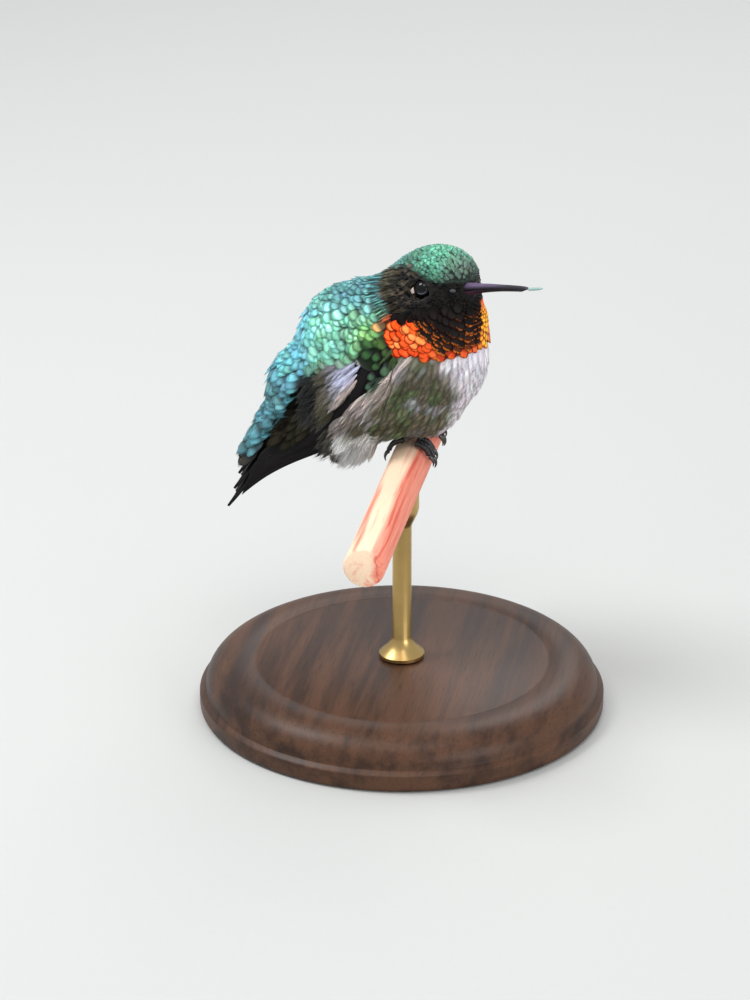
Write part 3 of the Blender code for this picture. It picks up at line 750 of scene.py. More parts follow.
def markings(points):
    """The coat's colour at each place, and how much it shines like metal."""
    at = Places(points)
    look = settings("plumage")
    small, wide = mottle(points, 1.5, 1), mottle(points, 3.4, 2)
    patch = mottle(points, 2.3, 3)

    colour = blend(look.flank, look.flank_olive, step(0.35, 0.75, wide) * step(19, 6, at.z))
    colour = blend(colour, look.flank_green, 0.75 * step(0.52, 0.8, small) * step(2, 6, at.z))
    colour = blend(colour, look.lilac, 0.3 * step(0.66, 0.86, patch) * step(5, 10, at.z))
    gloss = 0.25 * step(0.52, 0.8, small)

    fringe = step(4.6, 1.2, at.x - slit_front(at.z)) * step(5.5, 7.5, at.out) * step(3, 6, at.z)
    strands = blend(np.asarray(look.fringe) * 0.45, look.fringe, step(8.0, 12.5, at.z))
    colour = blend(colour, strands, fringe * (0.55 + 0.45 * small))
    gloss = gloss * (1 - fringe)

    front = step(-1.1, 1.3, at.x - white_edge(at.z) + 1.6 * (wide - 0.5))
    middle = step(5.4, 3.4, at.out) * step(10, 7, at.z)
    white = np.maximum(front, middle) * step(-12.5, -10.5, at.x)
    pale = blend(np.asarray(look.white) * 0.76, look.white, step(3.5, 8.5, at.x))
    colour = blend(colour, pale, white)
    gloss = gloss * (1 - white)

    vent = step(6.4, 5.0, at.z) * step(-4.4, -5.8, at.x) * step(-12.0, -11.0, at.x)
    colour = blend(colour, look.vent, vent)
    rear = step(-0.3, -1.2, at.x - slit_rear(at.z)) * step(3.5, 5.0, at.out)
    down = blend(look.flank, look.lilac, step(10.0, 15.5, at.z) * step(-13.6, -9.5, at.x))
    down = blend(np.asarray(look.flank_olive) * 0.5, down, step(7.5, 11.5, at.z))
    colour = blend(colour, down, rear)
    colour = blend(colour, look.tertial, step(-13.4, -14.6, at.x) * step(3.5, 5, at.out))
    # Painted shade: under the rear of the body the flank colour is darkened.
    under = step(-11.5, -12.5, at.x) * step(4.2, 3.4, at.out) * step(7.5, 6.0, at.z)
    under = np.maximum(under, step(-11.0, -11.8, at.x) * step(8.0, 6.5, at.z))
    colour = blend(colour, np.asarray(look.flank) * np.where(at.x > -13, 0.4, 0.16)[:, None], under)
    gloss = gloss * (1 - np.maximum(rear, vent))

    upper = step(-0.4, 0.5, at.upper) * step(5.6, 4.4, at.x)
    green = blend(look.back_mint, look.back_top, step(23.5, 27.5, at.z))
    green = blend(green, look.back_green, step(-10.5, -5.0, at.x) * step(27.0, 23.0, at.z))
    green = blend(green, look.back_green, 0.55 * step(1.6, 0.2, at.upper))
    green = blend(green, look.rump_blue, step(-12.5, -17.5, at.x))
    # Painted shade: the rump's colour darkens low down, towards its rear.
    green = green * (1 - 0.62 * step(17.0, 10.0, at.z) * step(-14, -17, at.x) * (0.4 + 0.6 * small))[:, None]
    colour = blend(colour, green, upper)
    gloss = np.maximum(gloss, upper)

    disc = covert_patch(at)
    green = blend(look.covert, DISC_OLIVE, 0.6 * step(-4.8, -3.6, at.x))
    colour = blend(colour, blend(green, DISC_BLUE_GREEN, step(18.2, 17.2, at.z)), disc)
    gloss = np.maximum(gloss, disc)

    head = step(-0.5, 0.3, at.head) * step(20.5, 21.5, at.z)
    streak = step(0.5, 0.8, mottle(points * np.array([1, 1, 1.6]), 0.7, 5))
    near_lore = step(-3.5, 2.5, at.f)
    nape = step(-2.5, -6.5, at.f)
    hairs = blend(np.asarray(look.mask_streak) * (1.0, 0.8, 0.8), look.mask_streak, patch)
    hairy = streak * (0.6 - 0.56 * near_lore) * (1 - nape) + nape * (0.45 + 0.5 * streak)
    mask = blend(look.mask, hairs, hairy)
    cheek = step(-3.8, -5.2, at.f) * step(1.0, -0.5, at.u) * step(-4.9, -3.6, at.u)
    mask = blend(mask, np.asarray(look.fringe) * 0.42, cheek * (0.5 + 0.5 * streak))
    colour = blend(colour, mask, head)
    gloss = gloss * (1 - head)
    crown = head * step(-0.25, 0.25, at.above_mask)
    dome = blend(look.crown, look.crown_dull, step(2.0, 5.0, at.f))
    dome = blend(dome, look.back_top, 0.55 * step(-2.5, -6.0, at.f))
    dome = dome * (0.42 + 0.58 * step(0.0, 2.6, at.above_mask))[:, None]
    colour = blend(colour, dome, crown)
    gloss = np.maximum(gloss, crown)

    gorget = step(-0.2, 0.15, at.in_gorget)
    colour = blend(colour, gorget_colours(at, small), gorget)
    gloss = np.maximum(gloss, gorget)
    return colour, gloss


def heart_edge(at):
    """The bearing, in degrees, where the gorget's dark heart gives way to orange on the right."""
    return -66.0 - 5.0 * (np.maximum(at.u, -8.0) + 6.0)


def gorget_colours(at, small):
    """A dark heart under the bill, with glowing orange to each side and a fine bright rim. The dark heart is
    partly the real black chin and partly painted shade where the iridescent scales look black.
    """
    look = settings("plumage")
    heart_right = heart_edge(at)
    heart_left = 12.0 + 2.0 * (at.u + 8.0)
    ragged = at.around + 9 * (small - 0.5)
    right_glow = step(heart_right + 2, heart_right - 2, ragged)
    left_glow = step(heart_left - 3, heart_left + 5, at.around)
    chin = np.where(at.around > 0, 3.3, 3.9 - 1.5 * step(-1.4, -3.0, at.f))
    glow = np.maximum(right_glow, left_glow) * step(0.3, -0.3, at.u + chin)
    foot = at.u + 10.7 - 0.45 * np.maximum(0, at.wide - 6.5)
    rim = step(1.5, 0.8, foot)
    light = step(0.35, 0.8, small) * 0.8 + 0.2 * step(-4, -8, at.u)
    orange = blend(look.gorget_orange, look.gorget_pale, light)
    # Painted shade: the orange grows redder and darker low on the gorget.
    orange = orange * (1 - (0.0, 0.4, 0.4) * step(-7.2, -8.6, at.u)[:, None])
    orange = orange * (1 - 0.25 * step(-7.2, -9.0, at.u))[:, None]
    yellow = step(6, 22, at.around) * step(60, 40, at.around) * step(-3.8, -5.6, at.u)
    orange = blend(orange, look.gorget_yellow, yellow)
    pink = step(-4.6, -3.4, at.u) * step(-1.5, -3.2, at.f)
    orange = blend(orange, GORGET_PINK, 0.7 * pink)
    # A faint painted gold glint on the lowest dark scales.
    gold_glint = step(-6.5, -10.0, at.u) * step(0.4, 0.8, small)
    dark = blend(look.gorget_dark, look.gorget_glint, 0.07 * gold_glint)
    return blend(dark, orange, np.maximum(step(0.3, 0.6, glow), rim * (0.45 + 0.45 * small)))


def glint_edges(points):
    """Where the gorget's dark scales get painted glints on their edges: low down, to the left, by the
    orange.
    """
    at = Places(points)
    low = step(-6.0, -9.6, at.u) * step(-90, -60, at.around)
    left = 0.8 * step(-34, -4, at.around) * step(-3.8, -5.8, at.u)
    past = at.around - heart_edge(at)
    seam = 0.8 * step(-10, -4, past) * step(24, 8, past) * step(-3.6, -4.8, at.u)
    return np.maximum(np.maximum(0.9 * low, left), seam)


# ---------------------------------------------------------------- feathers


class Pattern:
    """One feather's shape: shares along and across it, and small offsets in millimetres."""

    def __init__(self, along, across, height, quads, triangles=(), shift=None):
        self.along = np.asarray(along, float)
        self.across = np.asarray(across, float)
        self.height = np.asarray(height, float)
        self.shift = np.zeros((len(self.along), 2)) if shift is None else np.asarray(shift, float)
        self.quads = np.asarray(quads, int).reshape(-1, 4)
        self.triangles = np.asarray(triangles, int).reshape(-1, 3)

    def with_part(self, other):
        count = len(self.along)
        pairs = (
            (self.along, other.along), (self.across, other.across), (self.height, other.height),
            (self.quads, other.quads + count), (self.triangles, other.triangles + count),
            (self.shift, other.shift),
        )
        return Pattern(*map(np.concatenate, pairs))


def vane_pattern(rows, columns, roundness, camber, thickness, waist=0.4, point=2.0, width=1.0):
    """A closed thin vane with a rounded or pointed tip and edges that bend down."""
    along, across, height = [], [], []
    for level in (0, 1):
        for row in range(rows):
            share = row / (rows - 1)
            for column in range(columns):
                c = 2 * column / (columns - 1) - 1
                tip = 1 - roundness * (1 - (1 - abs(c) ** point) ** (1 / point))
                swell = (waist + (1 - waist) * min(1.0, share * 1.9) ** 0.8) * width
                along.append(share * tip)
                across.append(c * swell)
                height.append(-camber * c * c * (0.35 + 0.65 * share) - level * thickness)
    size = rows * columns
    quads = []
    for row in range(rows - 1):
        for column in range(columns - 1):
            a = row * columns + column
            quads.append((a, a + 1, a + columns + 1, a + columns))
            quads.append((size + a, size + a + columns, size + a + columns + 1, size + a + 1))
    rim = list(range(columns))
    rim += [row * columns + columns - 1 for row in range(1, rows)]
    rim += [(rows - 1) * columns + column for column in range(columns - 2, -1, -1)]
    rim += [row * columns for row in range(rows - 2, 0, -1)]
    for a, b in zip(rim, rim[1:] + rim[:1]):
        quads.append((a, size + a, size + b, b))
    return Pattern(along, across, height, quads)


def sliver(parts, start, end, width, stops=2):
    """Adds one tapering barb between two (along, across) places to the parts of a pattern."""
    along, across, height, quads, triangles, shift = parts
    base = len(along)
    side = 1 if end[1] >= start[1] else -1
    for order in range(stops):
        stop = order / stops
        thin = width * (1 - 0.35 * stop)
        for corner_a, corner_c, lift in ((-0.35, -0.5, 0.0), (0.35, 0.5, 0.0), (0.0, 0.0, 0.7)):
            along.append(start[0] + (end[0] - start[0]) * stop)
            across.append(start[1] + (end[1] - start[1]) * stop * (1.3 - 0.3 * stop))
            height.append(lift * thin)
            shift.append((corner_a * thin * side, corner_c * thin))
    for order in range(stops - 1):
        low, high = base + 3 * order, base + 3 * (order + 1)
        quads += [(low + i, low + (i + 1) % 3, high + (i + 1) % 3, high + i) for i in range(3)]
    along.append(end[0])
    across.append(end[1])
    height.append(0.0)
    shift.append((0.0, 0.0))
    last, tip = base + 3 * (stops - 1), len(along) - 1
    triangles += [(base + 2, base + 1, base)]
    triangles += [(last + i, last + (i + 1) % 3, tip) for i in range(3)]


def barb_pattern(count, width, reach, spread, start=0.12, end=0.93, hold=0.0, stops=2):
    """Loose barbs along both sides of a shaft, for a soft feather.

    hold is where a barb leaves the vane across, and reach and spread are how far it then runs
    along and across, as shares of the feather's length and of its half width.
    """
    parts = tuple([] for _ in range(6))
    for side in (-1, 1):
        for number in range(count):
            share = number / max(count - 1, 1)
            swell = math.sin(math.pi * min(1.0, 0.25 + 0.62 * share)) ** 0.7
            uneven = 1 + 0.2 * math.sin(number * 12.9 + side * 4.1)
            begin = (start + (end - start) * share, side * hold * swell * (1 - share * 0.3))
            run = reach * (1 - 0.35 * share) * uneven
            out = side * spread * swell * (1 - 0.8 * share)
            sliver(parts, begin, (begin[0] + run, begin[1] + out), width, stops)
    return Pattern(*parts)


def margin_barbs(count, width, reach, spread, roundness, point=2.0, waist=0.45):
    """Short fine barbs that stand out all round the tip of a vane and soften its edge."""
    parts = tuple([] for _ in range(6))
    for number in range(count):
        c = 2 * (number + 0.5) / count - 1
        edge = 1 - roundness * (1 - (1 - abs(c) ** point) ** (1 / point))
        uneven = 0.75 + 0.5 * abs(math.sin(number * 7.3 + 1))
        run = reach * uneven * (0.55 + 0.45 * (1 - abs(c)))
        sliver(parts, (edge - 0.1, c * 0.95), (edge + run, c * (1 + spread * uneven)), width, 1)
    for side in (-1, 1):
        for number in range(count // 4):
            at = 0.4 + (1 - roundness - 0.4) * number / (count // 4)
            wide = waist + (1 - waist) * min(1.0, at * 1.9) ** 0.8
            sliver(parts, (at, side * wide * 0.9), (at + reach * 1.2, side * (wide + spread)), width, 1)
    return Pattern(*parts)


STATIONS, LANES = 6, 5  # rows and columns of the net of places under a feather
FOLLOW = 0.35  # how soon a feather bends towards the lie of the coat
RISE = 1.6  # how early along its length a feather is raised
SINK = 0.12  # how deep, in millimetres, its root lies


class Bed:
    """Where a set of feathers lies: a small net of places on the surface under each one."""

    def __init__(self, surface, roots, normals, length, half_width, yaw):
        forward = skin_flow(roots, normals)
        sideways = np.cross(normals, forward)
        forward = unit(forward * np.cos(yaw)[:, None] + sideways * np.sin(yaw)[:, None])
        spine, up, ahead = [roots], [normals], [forward]
        for _ in range(STATIONS - 1):
            place, normal, _ = surface.drop(spine[-1] + ahead[-1] * (length / (STATIONS - 1))[:, None])
            ahead.append(flattened(ahead[-1] * (1 - FOLLOW) + skin_flow(place, normal) * FOLLOW, normal))
            spine.append(place)
            up.append(normal)
        self.spine, self.ahead = np.stack(spine, 1), np.stack(ahead, 1)
        self.aside = np.cross(np.stack(up, 1), self.ahead)
        reach = (half_width[:, None, None] * np.linspace(-1, 1, LANES))[..., None]
        net = self.spine[:, :, None, :] + self.aside[:, :, None, :] * reach
        self.net, self.net_up, _ = surface.drop(net)

    def keep(self, wanted):
        for name in ("spine", "ahead", "aside", "net", "net_up"):
            setattr(self, name, getattr(self, name)[wanted])

    def grow(self, pattern, lift, loose, roll, bend, hang):
        """Lays the pattern on every feather's net and raises it towards the tip."""
        along, across = pattern.along, pattern.across
        row = np.clip((along * (STATIONS - 1)).astype(int), 0, STATIONS - 2)
        ahead = (along * (STATIONS - 1) - row)[None, :, None]  # past 1 where a barb passes the tip
        lane_at = (across[None, :] + bend[:, None] * along[None, :] ** 2 + 1) / 2 * (LANES - 1)
        lane = np.clip(lane_at.astype(int), 0, LANES - 2)
        beside = (lane_at - lane)[..., None]
        which = np.arange(len(lift))[:, None]

        def sample(net):
            near, far = (
                net[which, line[None], lane] * (1 - beside) + net[which, line[None], lane + 1] * beside
                for line in (row, row + 1)
            )
            return near * (1 - ahead) + far * ahead

        places, normals = sample(self.net), unit(sample(self.net_up))
        climb = 1 - np.maximum(1 - along, 0) ** RISE + 0.25 * np.maximum(along - 1, 0)
        height = lift[:, None] * climb[None] - SINK * (1 - along[None]) + pattern.height[None]
        height = height + loose[:, None] * along[None] ** 3
        height = height + roll[:, None] * across[None] * along[None]
        places = places + normals * height[..., None]
        places[..., 2] -= hang * along[None] ** 2
        nearest = np.clip(np.round(along * (STATIONS - 1)).astype(int), 0, STATIONS - 1)
        places = places + self.ahead[:, nearest] * pattern.shift[None, :, :1]
        return places + self.aside[:, nearest] * pattern.shift[None, :, 1:]


PATCH = 0.0015  # half a patch's width, as a share of the whole map


def root_patches(roots, pattern):
    """A tiny patch for every feather at its root's place on the skin's unwrap."""
    surface, places = skin_map()
    found, _, which = surface.drop(roots)
    share = surface.weights(found, which)
    centre = (places[surface.loops[which]] * share[..., None]).sum(1)
    offset = np.stack([pattern.across, pattern.along * 2 - 1], 1) * 0.0014
    return centre[:, None, :] + np.clip(offset, -PATCH, PATCH)[None]


def feathers_piece(name, bed, pattern, places, material, slot, draw, warmth, spread, shown):
    """Joins laid feathers to one mesh with their markings, and puts it on the bird."""
    count, corners = len(places), len(pattern.along)
    offset = np.arange(count)[:, None, None] * corners
    blocks = (pattern.quads, pattern.triangles)
    faces = [(block[None] + offset).reshape(-1, block.shape[1]) for block in blocks]
    obj = add_mesh(name + "_feathers", places.reshape(-1, 3), faces, material)
    at = bed.spine[:, shown]
    colour, gloss = markings(at)
    if name == "gorget":
        colour = gorget_colours(Places(at), mottle(at, 1.5, 1))
        # edge says where the painted glints go.
        set_numbers(obj, edge=np.repeat(glint_edges(at), corners))
    luck = draw.random(count)
    colour = colour * (1 + spread * (2 * luck - 1))[:, None]
    colour = colour * (1 + warmth * draw.normal(size=(count, 3)))
    set_tint(obj, np.repeat(np.clip(colour, 0, 1), corners, 0))
    set_numbers(
        obj,
        gloss=np.repeat(gloss, corners),
        luck=np.repeat(luck, corners),
        along=np.tile(pattern.along, count),
        across=np.tile(pattern.across, count),
    )
    patches = root_patches(bed.spine[:, 0], pattern).reshape(-1, 2)
    layer = obj.data.uv_layers.new(name="OFBake")
    corner_of_loop = read(obj.data.loops, "vertex_index", 1, np.int32).ravel()
    layer.data.foreach_set("uv", patches[corner_of_loop].ravel())
    mount(obj, slot)


# Each region's feathers. In millimetres: how far apart their roots are, their length, half width
# and lift. Then how much they differ: in direction, size, shade, hue and looseness at the tip.
COAT = {
    "crown": (0.46, 1.4, 0.40, 0.22, 0.2, 0.22, 0.32, 0.04, 0.0),
    "face": (0.36, 0.85, 0.19, 0.12, 0.2, 0.2, 0.35, 0.04, 0.0),
    "ear": (0.42, 1.7, 0.28, 0.24, 0.22, 0.25, 0.4, 0.04, 0.1),
    "gorget": (1.24, 2.5, 0.93, 0.42, 0.05, 0.06, 0.1, 0.03, 0.0),
    "back": (0.7, 2.5, 0.88, 0.4, 0.22, 0.22, 0.28, 0.06, 0.12),
    "rump": (0.88, 3.4, 0.92, 0.42, 0.16, 0.16, 0.34, 0.05, 0.16),
    "covert": (1.5, 2.7, 0.95, 0.45, 0.2, 0.05, 0.15, 0.03, 0.0),
    "tertial": (1.0, 4.4, 0.7, 0.3, 0.1, 0.1, 0.2, 0.02, 0.0),
    "tuft": (0.46, 2.8, 0.56, 0.6, 0.2, 0.2, 0.1, 0.02, 0.25),
    "fringe": (0.52, 3.0, 0.42, 0.6, 0.24, 0.3, 0.42, 0.02, 0.4),
    "flank": (0.74, 3.0, 0.66, 0.36, 0.22, 0.2, 0.16, 0.03, 0.08),
    "breast": (0.7, 3.2, 0.9, 0.22, 0.14, 0.15, 0.05, 0.02, 0.06),
    "vent": (0.48, 2.2, 0.55, 0.7, 0.3, 0.3, 0.08, 0.02, 0.2),
    "undertail": (0.9, 3.2, 0.8, 0.4, 0.15, 0.15, 0.12, 0.02, 0.0),
}


def size_at(points):
    """How large the feathers are at each place beside their region's usual size."""
    at = Places(points)
    size = np.ones(len(points))
    on_gorget = (at.in_gorget > 0) & (at.far < 13.5)
    on_crown = (at.head > 0) & (at.above_mask > 0) & (at.z > 21)
    size = np.where(on_crown, 0.85 + 0.35 * step(4.0, -6.0, at.f), size)
    on_ear = (at.head > 0) & ~on_crown & ~on_gorget & (at.z > 21)
    size = np.where(on_ear, 1 + 0.5 * step(-4.0, -7.0, at.f), size)
    on_back = (at.upper > 0) & ~on_crown & ~on_gorget & ~on_ear
    size = np.where(on_back, 0.8 + 0.25 * step(1.5, -4.5, at.head), size)
    return np.where(on_back & (at.x < -16), size + 0.1 * step(-17.0, -21.0, at.x), size)


TRIED_ROOTS = 160000
CELL = 1.3  # no feathers scattered by roots_by_zone are set further apart than this


@functools.lru_cache(maxsize=None)
def roots_by_zone():
    """Feather roots all over the bird, no closer than their region's spacing."""
    draw = new_draw(0)
    surface = lie_surface()
    places, normals = surface.scatter(TRIED_ROOTS, draw)
    zone = zones(places)
    spacing = np.array([COAT[name][0] if name in COAT else 0.0 for name in ZONES])[zone] * size_at(places)
    cells, kept = {}, []
    keys = np.floor(places / CELL).astype(int)
    near = [(i, j, k) for i in (-1, 0, 1) for j in (-1, 0, 1) for k in (-1, 0, 1)]
    points, gaps = places.tolist(), (spacing ** 2).tolist()
    for index, key in enumerate(map(tuple, keys.tolist())):
        gap = gaps[index]
        if gap == 0.0:
            continue
        x, y, z = points[index]
        others = (points[o] for i, j, k in near for o in cells.get((key[0] + i, key[1] + j, key[2] + k), ()))
        if all((x - a) ** 2 + (y - b) ** 2 + (z - c) ** 2 >= gap for a, b, c in others):
            cells.setdefault(key, []).append(index)
            kept.append(index)
    kept = np.array(kept)
    zone = zone[kept]
    return {name: (places[kept[zone == i]], normals[kept[zone == i]]) for i, name in enumerate(ZONES)}


CHIN = np.array([[5.6, 0.0, -2.6]])
GORGET_ROWS = 30


def gorget_roots(spacing):
    """Roots and sizes of the gorget's scales, in staggered rows that ring the chin.

    A ring of walkers leaves the chin over the surface, and each row lies along the ring.
    """
    surface, walkers = lie_surface(), 144
    turns = 2 * math.pi * np.arange(walkers) / walkers
    chin, up, _ = surface.drop(from_head(CHIN))
    left = flattened(HEAD_AXES[:, 1][None], up)
    ahead = np.cos(turns)[:, None] * left + np.sin(turns)[:, None] * np.cross(up, left)
    ring, roots, sizes, gone = np.repeat(chin, walkers, 0), [], [], 0.0
    for row in range(GORGET_ROWS):
        size = 0.42 + 0.63 * float(step(1.2, 8.0, gone))
        stride = 0.8 * spacing * size
        for _ in range(3):
            ring, normals, _ = surface.drop(ring + ahead * (stride / 3))
            ahead = flattened(ahead, normals)
        gone += stride
        gaps = np.linalg.norm(np.roll(ring, -1, 0) - ring, axis=1)
        length = np.concatenate([[0.0], np.cumsum(gaps)])
        count = max(3, round(length[-1] / (spacing * size)))
        stops = (np.arange(count) + 0.5 * (row % 2)) / count * length[-1]
        closed = np.concatenate([ring, ring[:1]])
        roots.append(np.stack([np.interp(stops, length, closed[:, axis]) for axis in range(3)], 1))
        sizes.append(np.full(count, size))
    roots, normals, _ = surface.drop(np.concatenate(roots))
    inside = Places(roots).gorget_room > 0
    return roots[inside], normals[inside], np.concatenate(sizes)[inside]


COVERT_DISCS = (
    (-5.7, 20.2, 0.84), (-2.7, 18.6, 0.9), (-2.3, 21.2, 0.7), (-0.9, 20.0, 0.7), (-4.2, 20.0, 0.66),
    (-4.4, 18.2, 0.62), (-5.3, 16.7, 0.58), (-5.8, 15.0, 0.62),
)


def covert_roots(length):
    """Roots and sizes of the few green discs on the front of each folded wing."""
    sides = np.array([(x, side * 12.0, z, size) for side in (-1, 1) for x, z, size in COVERT_DISCS])
    middles, normals, _ = lie_surface().drop(sides[:, :3])
    back = skin_flow(middles, normals) * (length * 0.62 * sides[:, 3:])
    roots, normals, _ = lie_surface().drop(middles - back)
    return roots, normals, sides[:, 3]


WHITE_SPOT = np.array([-1.5, 1.3, -0.15])  # the white spot's middle from the left eye's


def clear_of_eyes(bed):
    """Which feathers leave both eyes bare. Those above an eye may come nearer, as a brow."""
    clear = np.ones(len(bed.spine), bool)
    for side in (-1, 1):
        centre = from_head((EYE_PLACE + 1.2 * EYE_LOOK) * (1, side, 1))
        gap = np.linalg.norm(bed.spine[:, 1:] - centre, axis=-1).min(1)
        over = in_head(bed.spine[:, 0])[:, 2] > EYE_PLACE[2] + 0.9
        spot = from_head((EYE_PLACE + WHITE_SPOT) * (1, side, 1))
        beside = np.linalg.norm(bed.spine[:, 1:] - spot, axis=-1).min(1)
        clear &= (gap > np.where(over, 1.0, 1.15)) & (beside > 0.42)
    return clear


def lay_feathers(name, pattern, material, slot, draw, roll=0.05, hang=0.0, shown=4):
    """Covers one region with feathers of one pattern, as a piece named after the region.

    roll is how much they lean to a side, hang how far their tips droop, and shown the station
    along each feather that its colour is taken from.
    """
    spacing, length, half_width, lift, yaw, vary, spread, warmth, loose = COAT[name]
    if name == "gorget":
        roots, normals, sizes = gorget_roots(spacing)
    elif name == "covert":
        roots, normals, sizes = covert_roots(length)
    else:
        roots, normals = roots_by_zone()[name]
        sizes = size_at(roots)
    size = draw.uniform(1 - vary, 1 + vary, len(roots)) * sizes
    yaws = draw.normal(0, yaw, len(roots))
    bed = Bed(lie_surface(), roots, normals, length * size, half_width * size, yaws)
    clear = clear_of_eyes(bed)
    bed.keep(clear)
    count = len(bed.spine)
    lifts = lift * size[clear] * draw.uniform(0.85, 1.15, count)
    looseness = np.abs(draw.normal(0, loose, count)) if loose else np.zeros(count)
    rolls = draw.normal(0, roll, count)
    bends = draw.normal(0, 0.1, count)
    places = bed.grow(pattern, lifts, looseness, rolls, bends, hang)
    feathers_piece(name, bed, pattern, places, material, slot, draw, warmth, spread, shown)


# ---------------------------------------------------------------- plumage materials


def barb_waves(along, across, count, lean):
    """Fine lines that run out and forwards from the shaft."""
    return ((along - abs(across) * lean) * count).sine() * 0.5 + 0.5


def scale_finish(name, dark_base, rim, roughness, metal, painted_highlight=0.3, root=0.3):
    """Flat iridescent feathers: a dark root, a bright disc and a slightly darker rim of painted shade, with
    a painted highlight on some of them.
    """
    finish = Finish(name, Specular_IOR_Level=0.4, Sheen_Weight=0.12, Sheen_Roughness=0.5)
    tint = finish.tint()
    along, across, gloss, luck = finish.attributes("along", "across", "gloss", "luck")
    disc = finish.between(along, root, root + 0.36, dark_base, 1.0)
    # Painted shade: the disc darkens towards its sides and its tip, as in the gaps between scales.
    disc = disc * finish.between(abs(across), 0.6, 1.0, 1.0, rim)
    disc = disc * finish.between(along, 0.95, 1.04, 1.0, rim)
    lines = barb_waves(along, across, 95.0, 0.34)
    glint = finish.noise(2.4, 2.0)
    shade = disc * (0.78 + 0.36 * lines) * (0.7 + 0.6 * glint)
    colour = finish.scaled(tint, shade)
    # A painted highlight that makes some feathers, picked at random, lighter.
    bright = finish.between(luck, 0.55, 1.0, 0.0, painted_highlight) * disc
    colour = finish.mix(bright, colour, finish.scaled(tint, 1.3))
    rough = roughness + 0.22 * (1 - disc) + 0.1 * (glint - 0.5)
    bump = finish.bump(lines, 0.3, 0.03)
    return finish.feed(Base_Color=colour, Roughness=rough, Metallic=gloss * metal * disc, Normal=bump)


def plume_finish(name, dark_base, roughness=0.85, sheen=0.2):
    """Soft grey feathers: a little darker down at the root, paler worn barbs at the tip."""
    finish = Finish(name, Specular_IOR_Level=0.05, Sheen_Weight=sheen, Sheen_Roughness=0.6)
    along, across, gloss, luck = finish.attributes("along", "across", "gloss", "luck")
    fade = finish.between(along, 0.15, 0.8, dark_base, 1.04)
    lines = barb_waves(along, across, 70.0, 0.5)
    down = finish.noise(3.2, 4.0, 0.65)
    shade = fade * (0.9 + 0.16 * lines) * (0.84 + 0.34 * down) * (0.95 + 0.1 * luck)
    bump = finish.bump(lines * 0.6 + down, 0.3, 0.05)
    return finish.feed(
        Base_Color=finish.scaled(finish.tint(), shade), Roughness=roughness + 0.1 * (down - 0.5),
        Metallic=gloss * 0.3, Normal=bump,
    )


SCALE_EDGE_RED = (0.95, 0.3, 0.3)


def gorget_finish():
    """Broad discs with a painted glow from emission: a painted highlight in the middle, a redder soft edge
    and a dark gap of painted shade.
    """
    finish = Finish("gorget_scales", Specular_IOR_Level=0.12, Emission_Strength=0.36)
    tint = finish.tint()
    along, across, edge, luck = finish.attributes("along", "across", "edge", "luck")
    bent = along + 0.16 * across * across
    # Painted shade in the gaps between scales, and a painted highlight in their middles.
    disc = finish.between(along, 0.36, 0.72, 0.06, 1.0)
    disc = disc * finish.between(abs(across), 0.46, 0.86, 1.0, 0.14)
    disc = disc * finish.between(bent, 0.84, 1.02, 1.0, 0.2)
    lines = barb_waves(along, across, 80.0, 0.34)
    glint = finish.noise(3.0, 2.0)
    shade = disc * (0.9 + 0.14 * lines) * (0.75 + 0.5 * glint) * (0.8 + 0.35 * luck)
    glow = finish.mix(1 - disc, tint, finish.mix(1.0, tint, SCALE_EDGE_RED, "MULTIPLY"))
    colour = finish.scaled(glow, shade)
    # Painted glints: thin golden arcs near the tips of the dark scales.
    glint_crescent = finish.between(bent, 0.85, 0.9) * finish.between(bent, 0.96, 1.01, 1.0, 0.2)
    glint_crescent = glint_crescent * finish.between(abs(across), 0.5, 0.8, 1.0, 0.1)
    glint_crescent = glint_crescent * edge * finish.between(glint, 0.36, 0.58)
    colour = finish.mix(glint_crescent.clamped(), colour, settings("plumage").gorget_glint)
    # The colour is also emitted, a painted glow from scales that are no lamp.
    return finish.feed(
        Base_Color=colour, Emission_Color=colour, Roughness=0.4 + 0.2 * (1 - disc),
        Metallic=0.25 * disc, Normal=finish.bump(lines, 0.25, 0.03),
    )


def skin_finish():
    """Down close to the skin, in the coat's own markings but darker."""
    finish = Finish("down_on_skin", Specular_IOR_Level=0.2, Sheen_Weight=0.2)
    down = finish.noise(4.0, 5.0, 0.7)
    (gloss,) = finish.attributes("gloss")
    colour = finish.scaled(finish.tint(), (0.75 + 0.3 * down) * (1 - 0.88 * gloss))
    return finish.feed(Base_Color=colour, Roughness=0.85 + 0.1 * down, Normal=finish.bump(down, 0.5, 0.15))


# ---------------------------------------------------------------- skin and coat operators

GROWTH = 0.55  # how far the flesh is grown to melt together before it is drawn in again


def unwrap(obj):
    """Unfolds a piece on a map named OFBake."""
    obj.data.uv_layers.new(name="OFBake")
    bpy.ops.object.select_all(action="DESELECT")
    bpy.context.view_layer.objects.active = obj
    obj.select_set(True)
    bpy.ops.object.mode_set(mode="EDIT")
    bpy.ops.mesh.select_all(action="SELECT")
    bpy.ops.uv.smart_project(angle_limit=math.radians(60), island_margin=0.004)
    bpy.ops.object.mode_set(mode="OBJECT")
    obj.select_set(False)


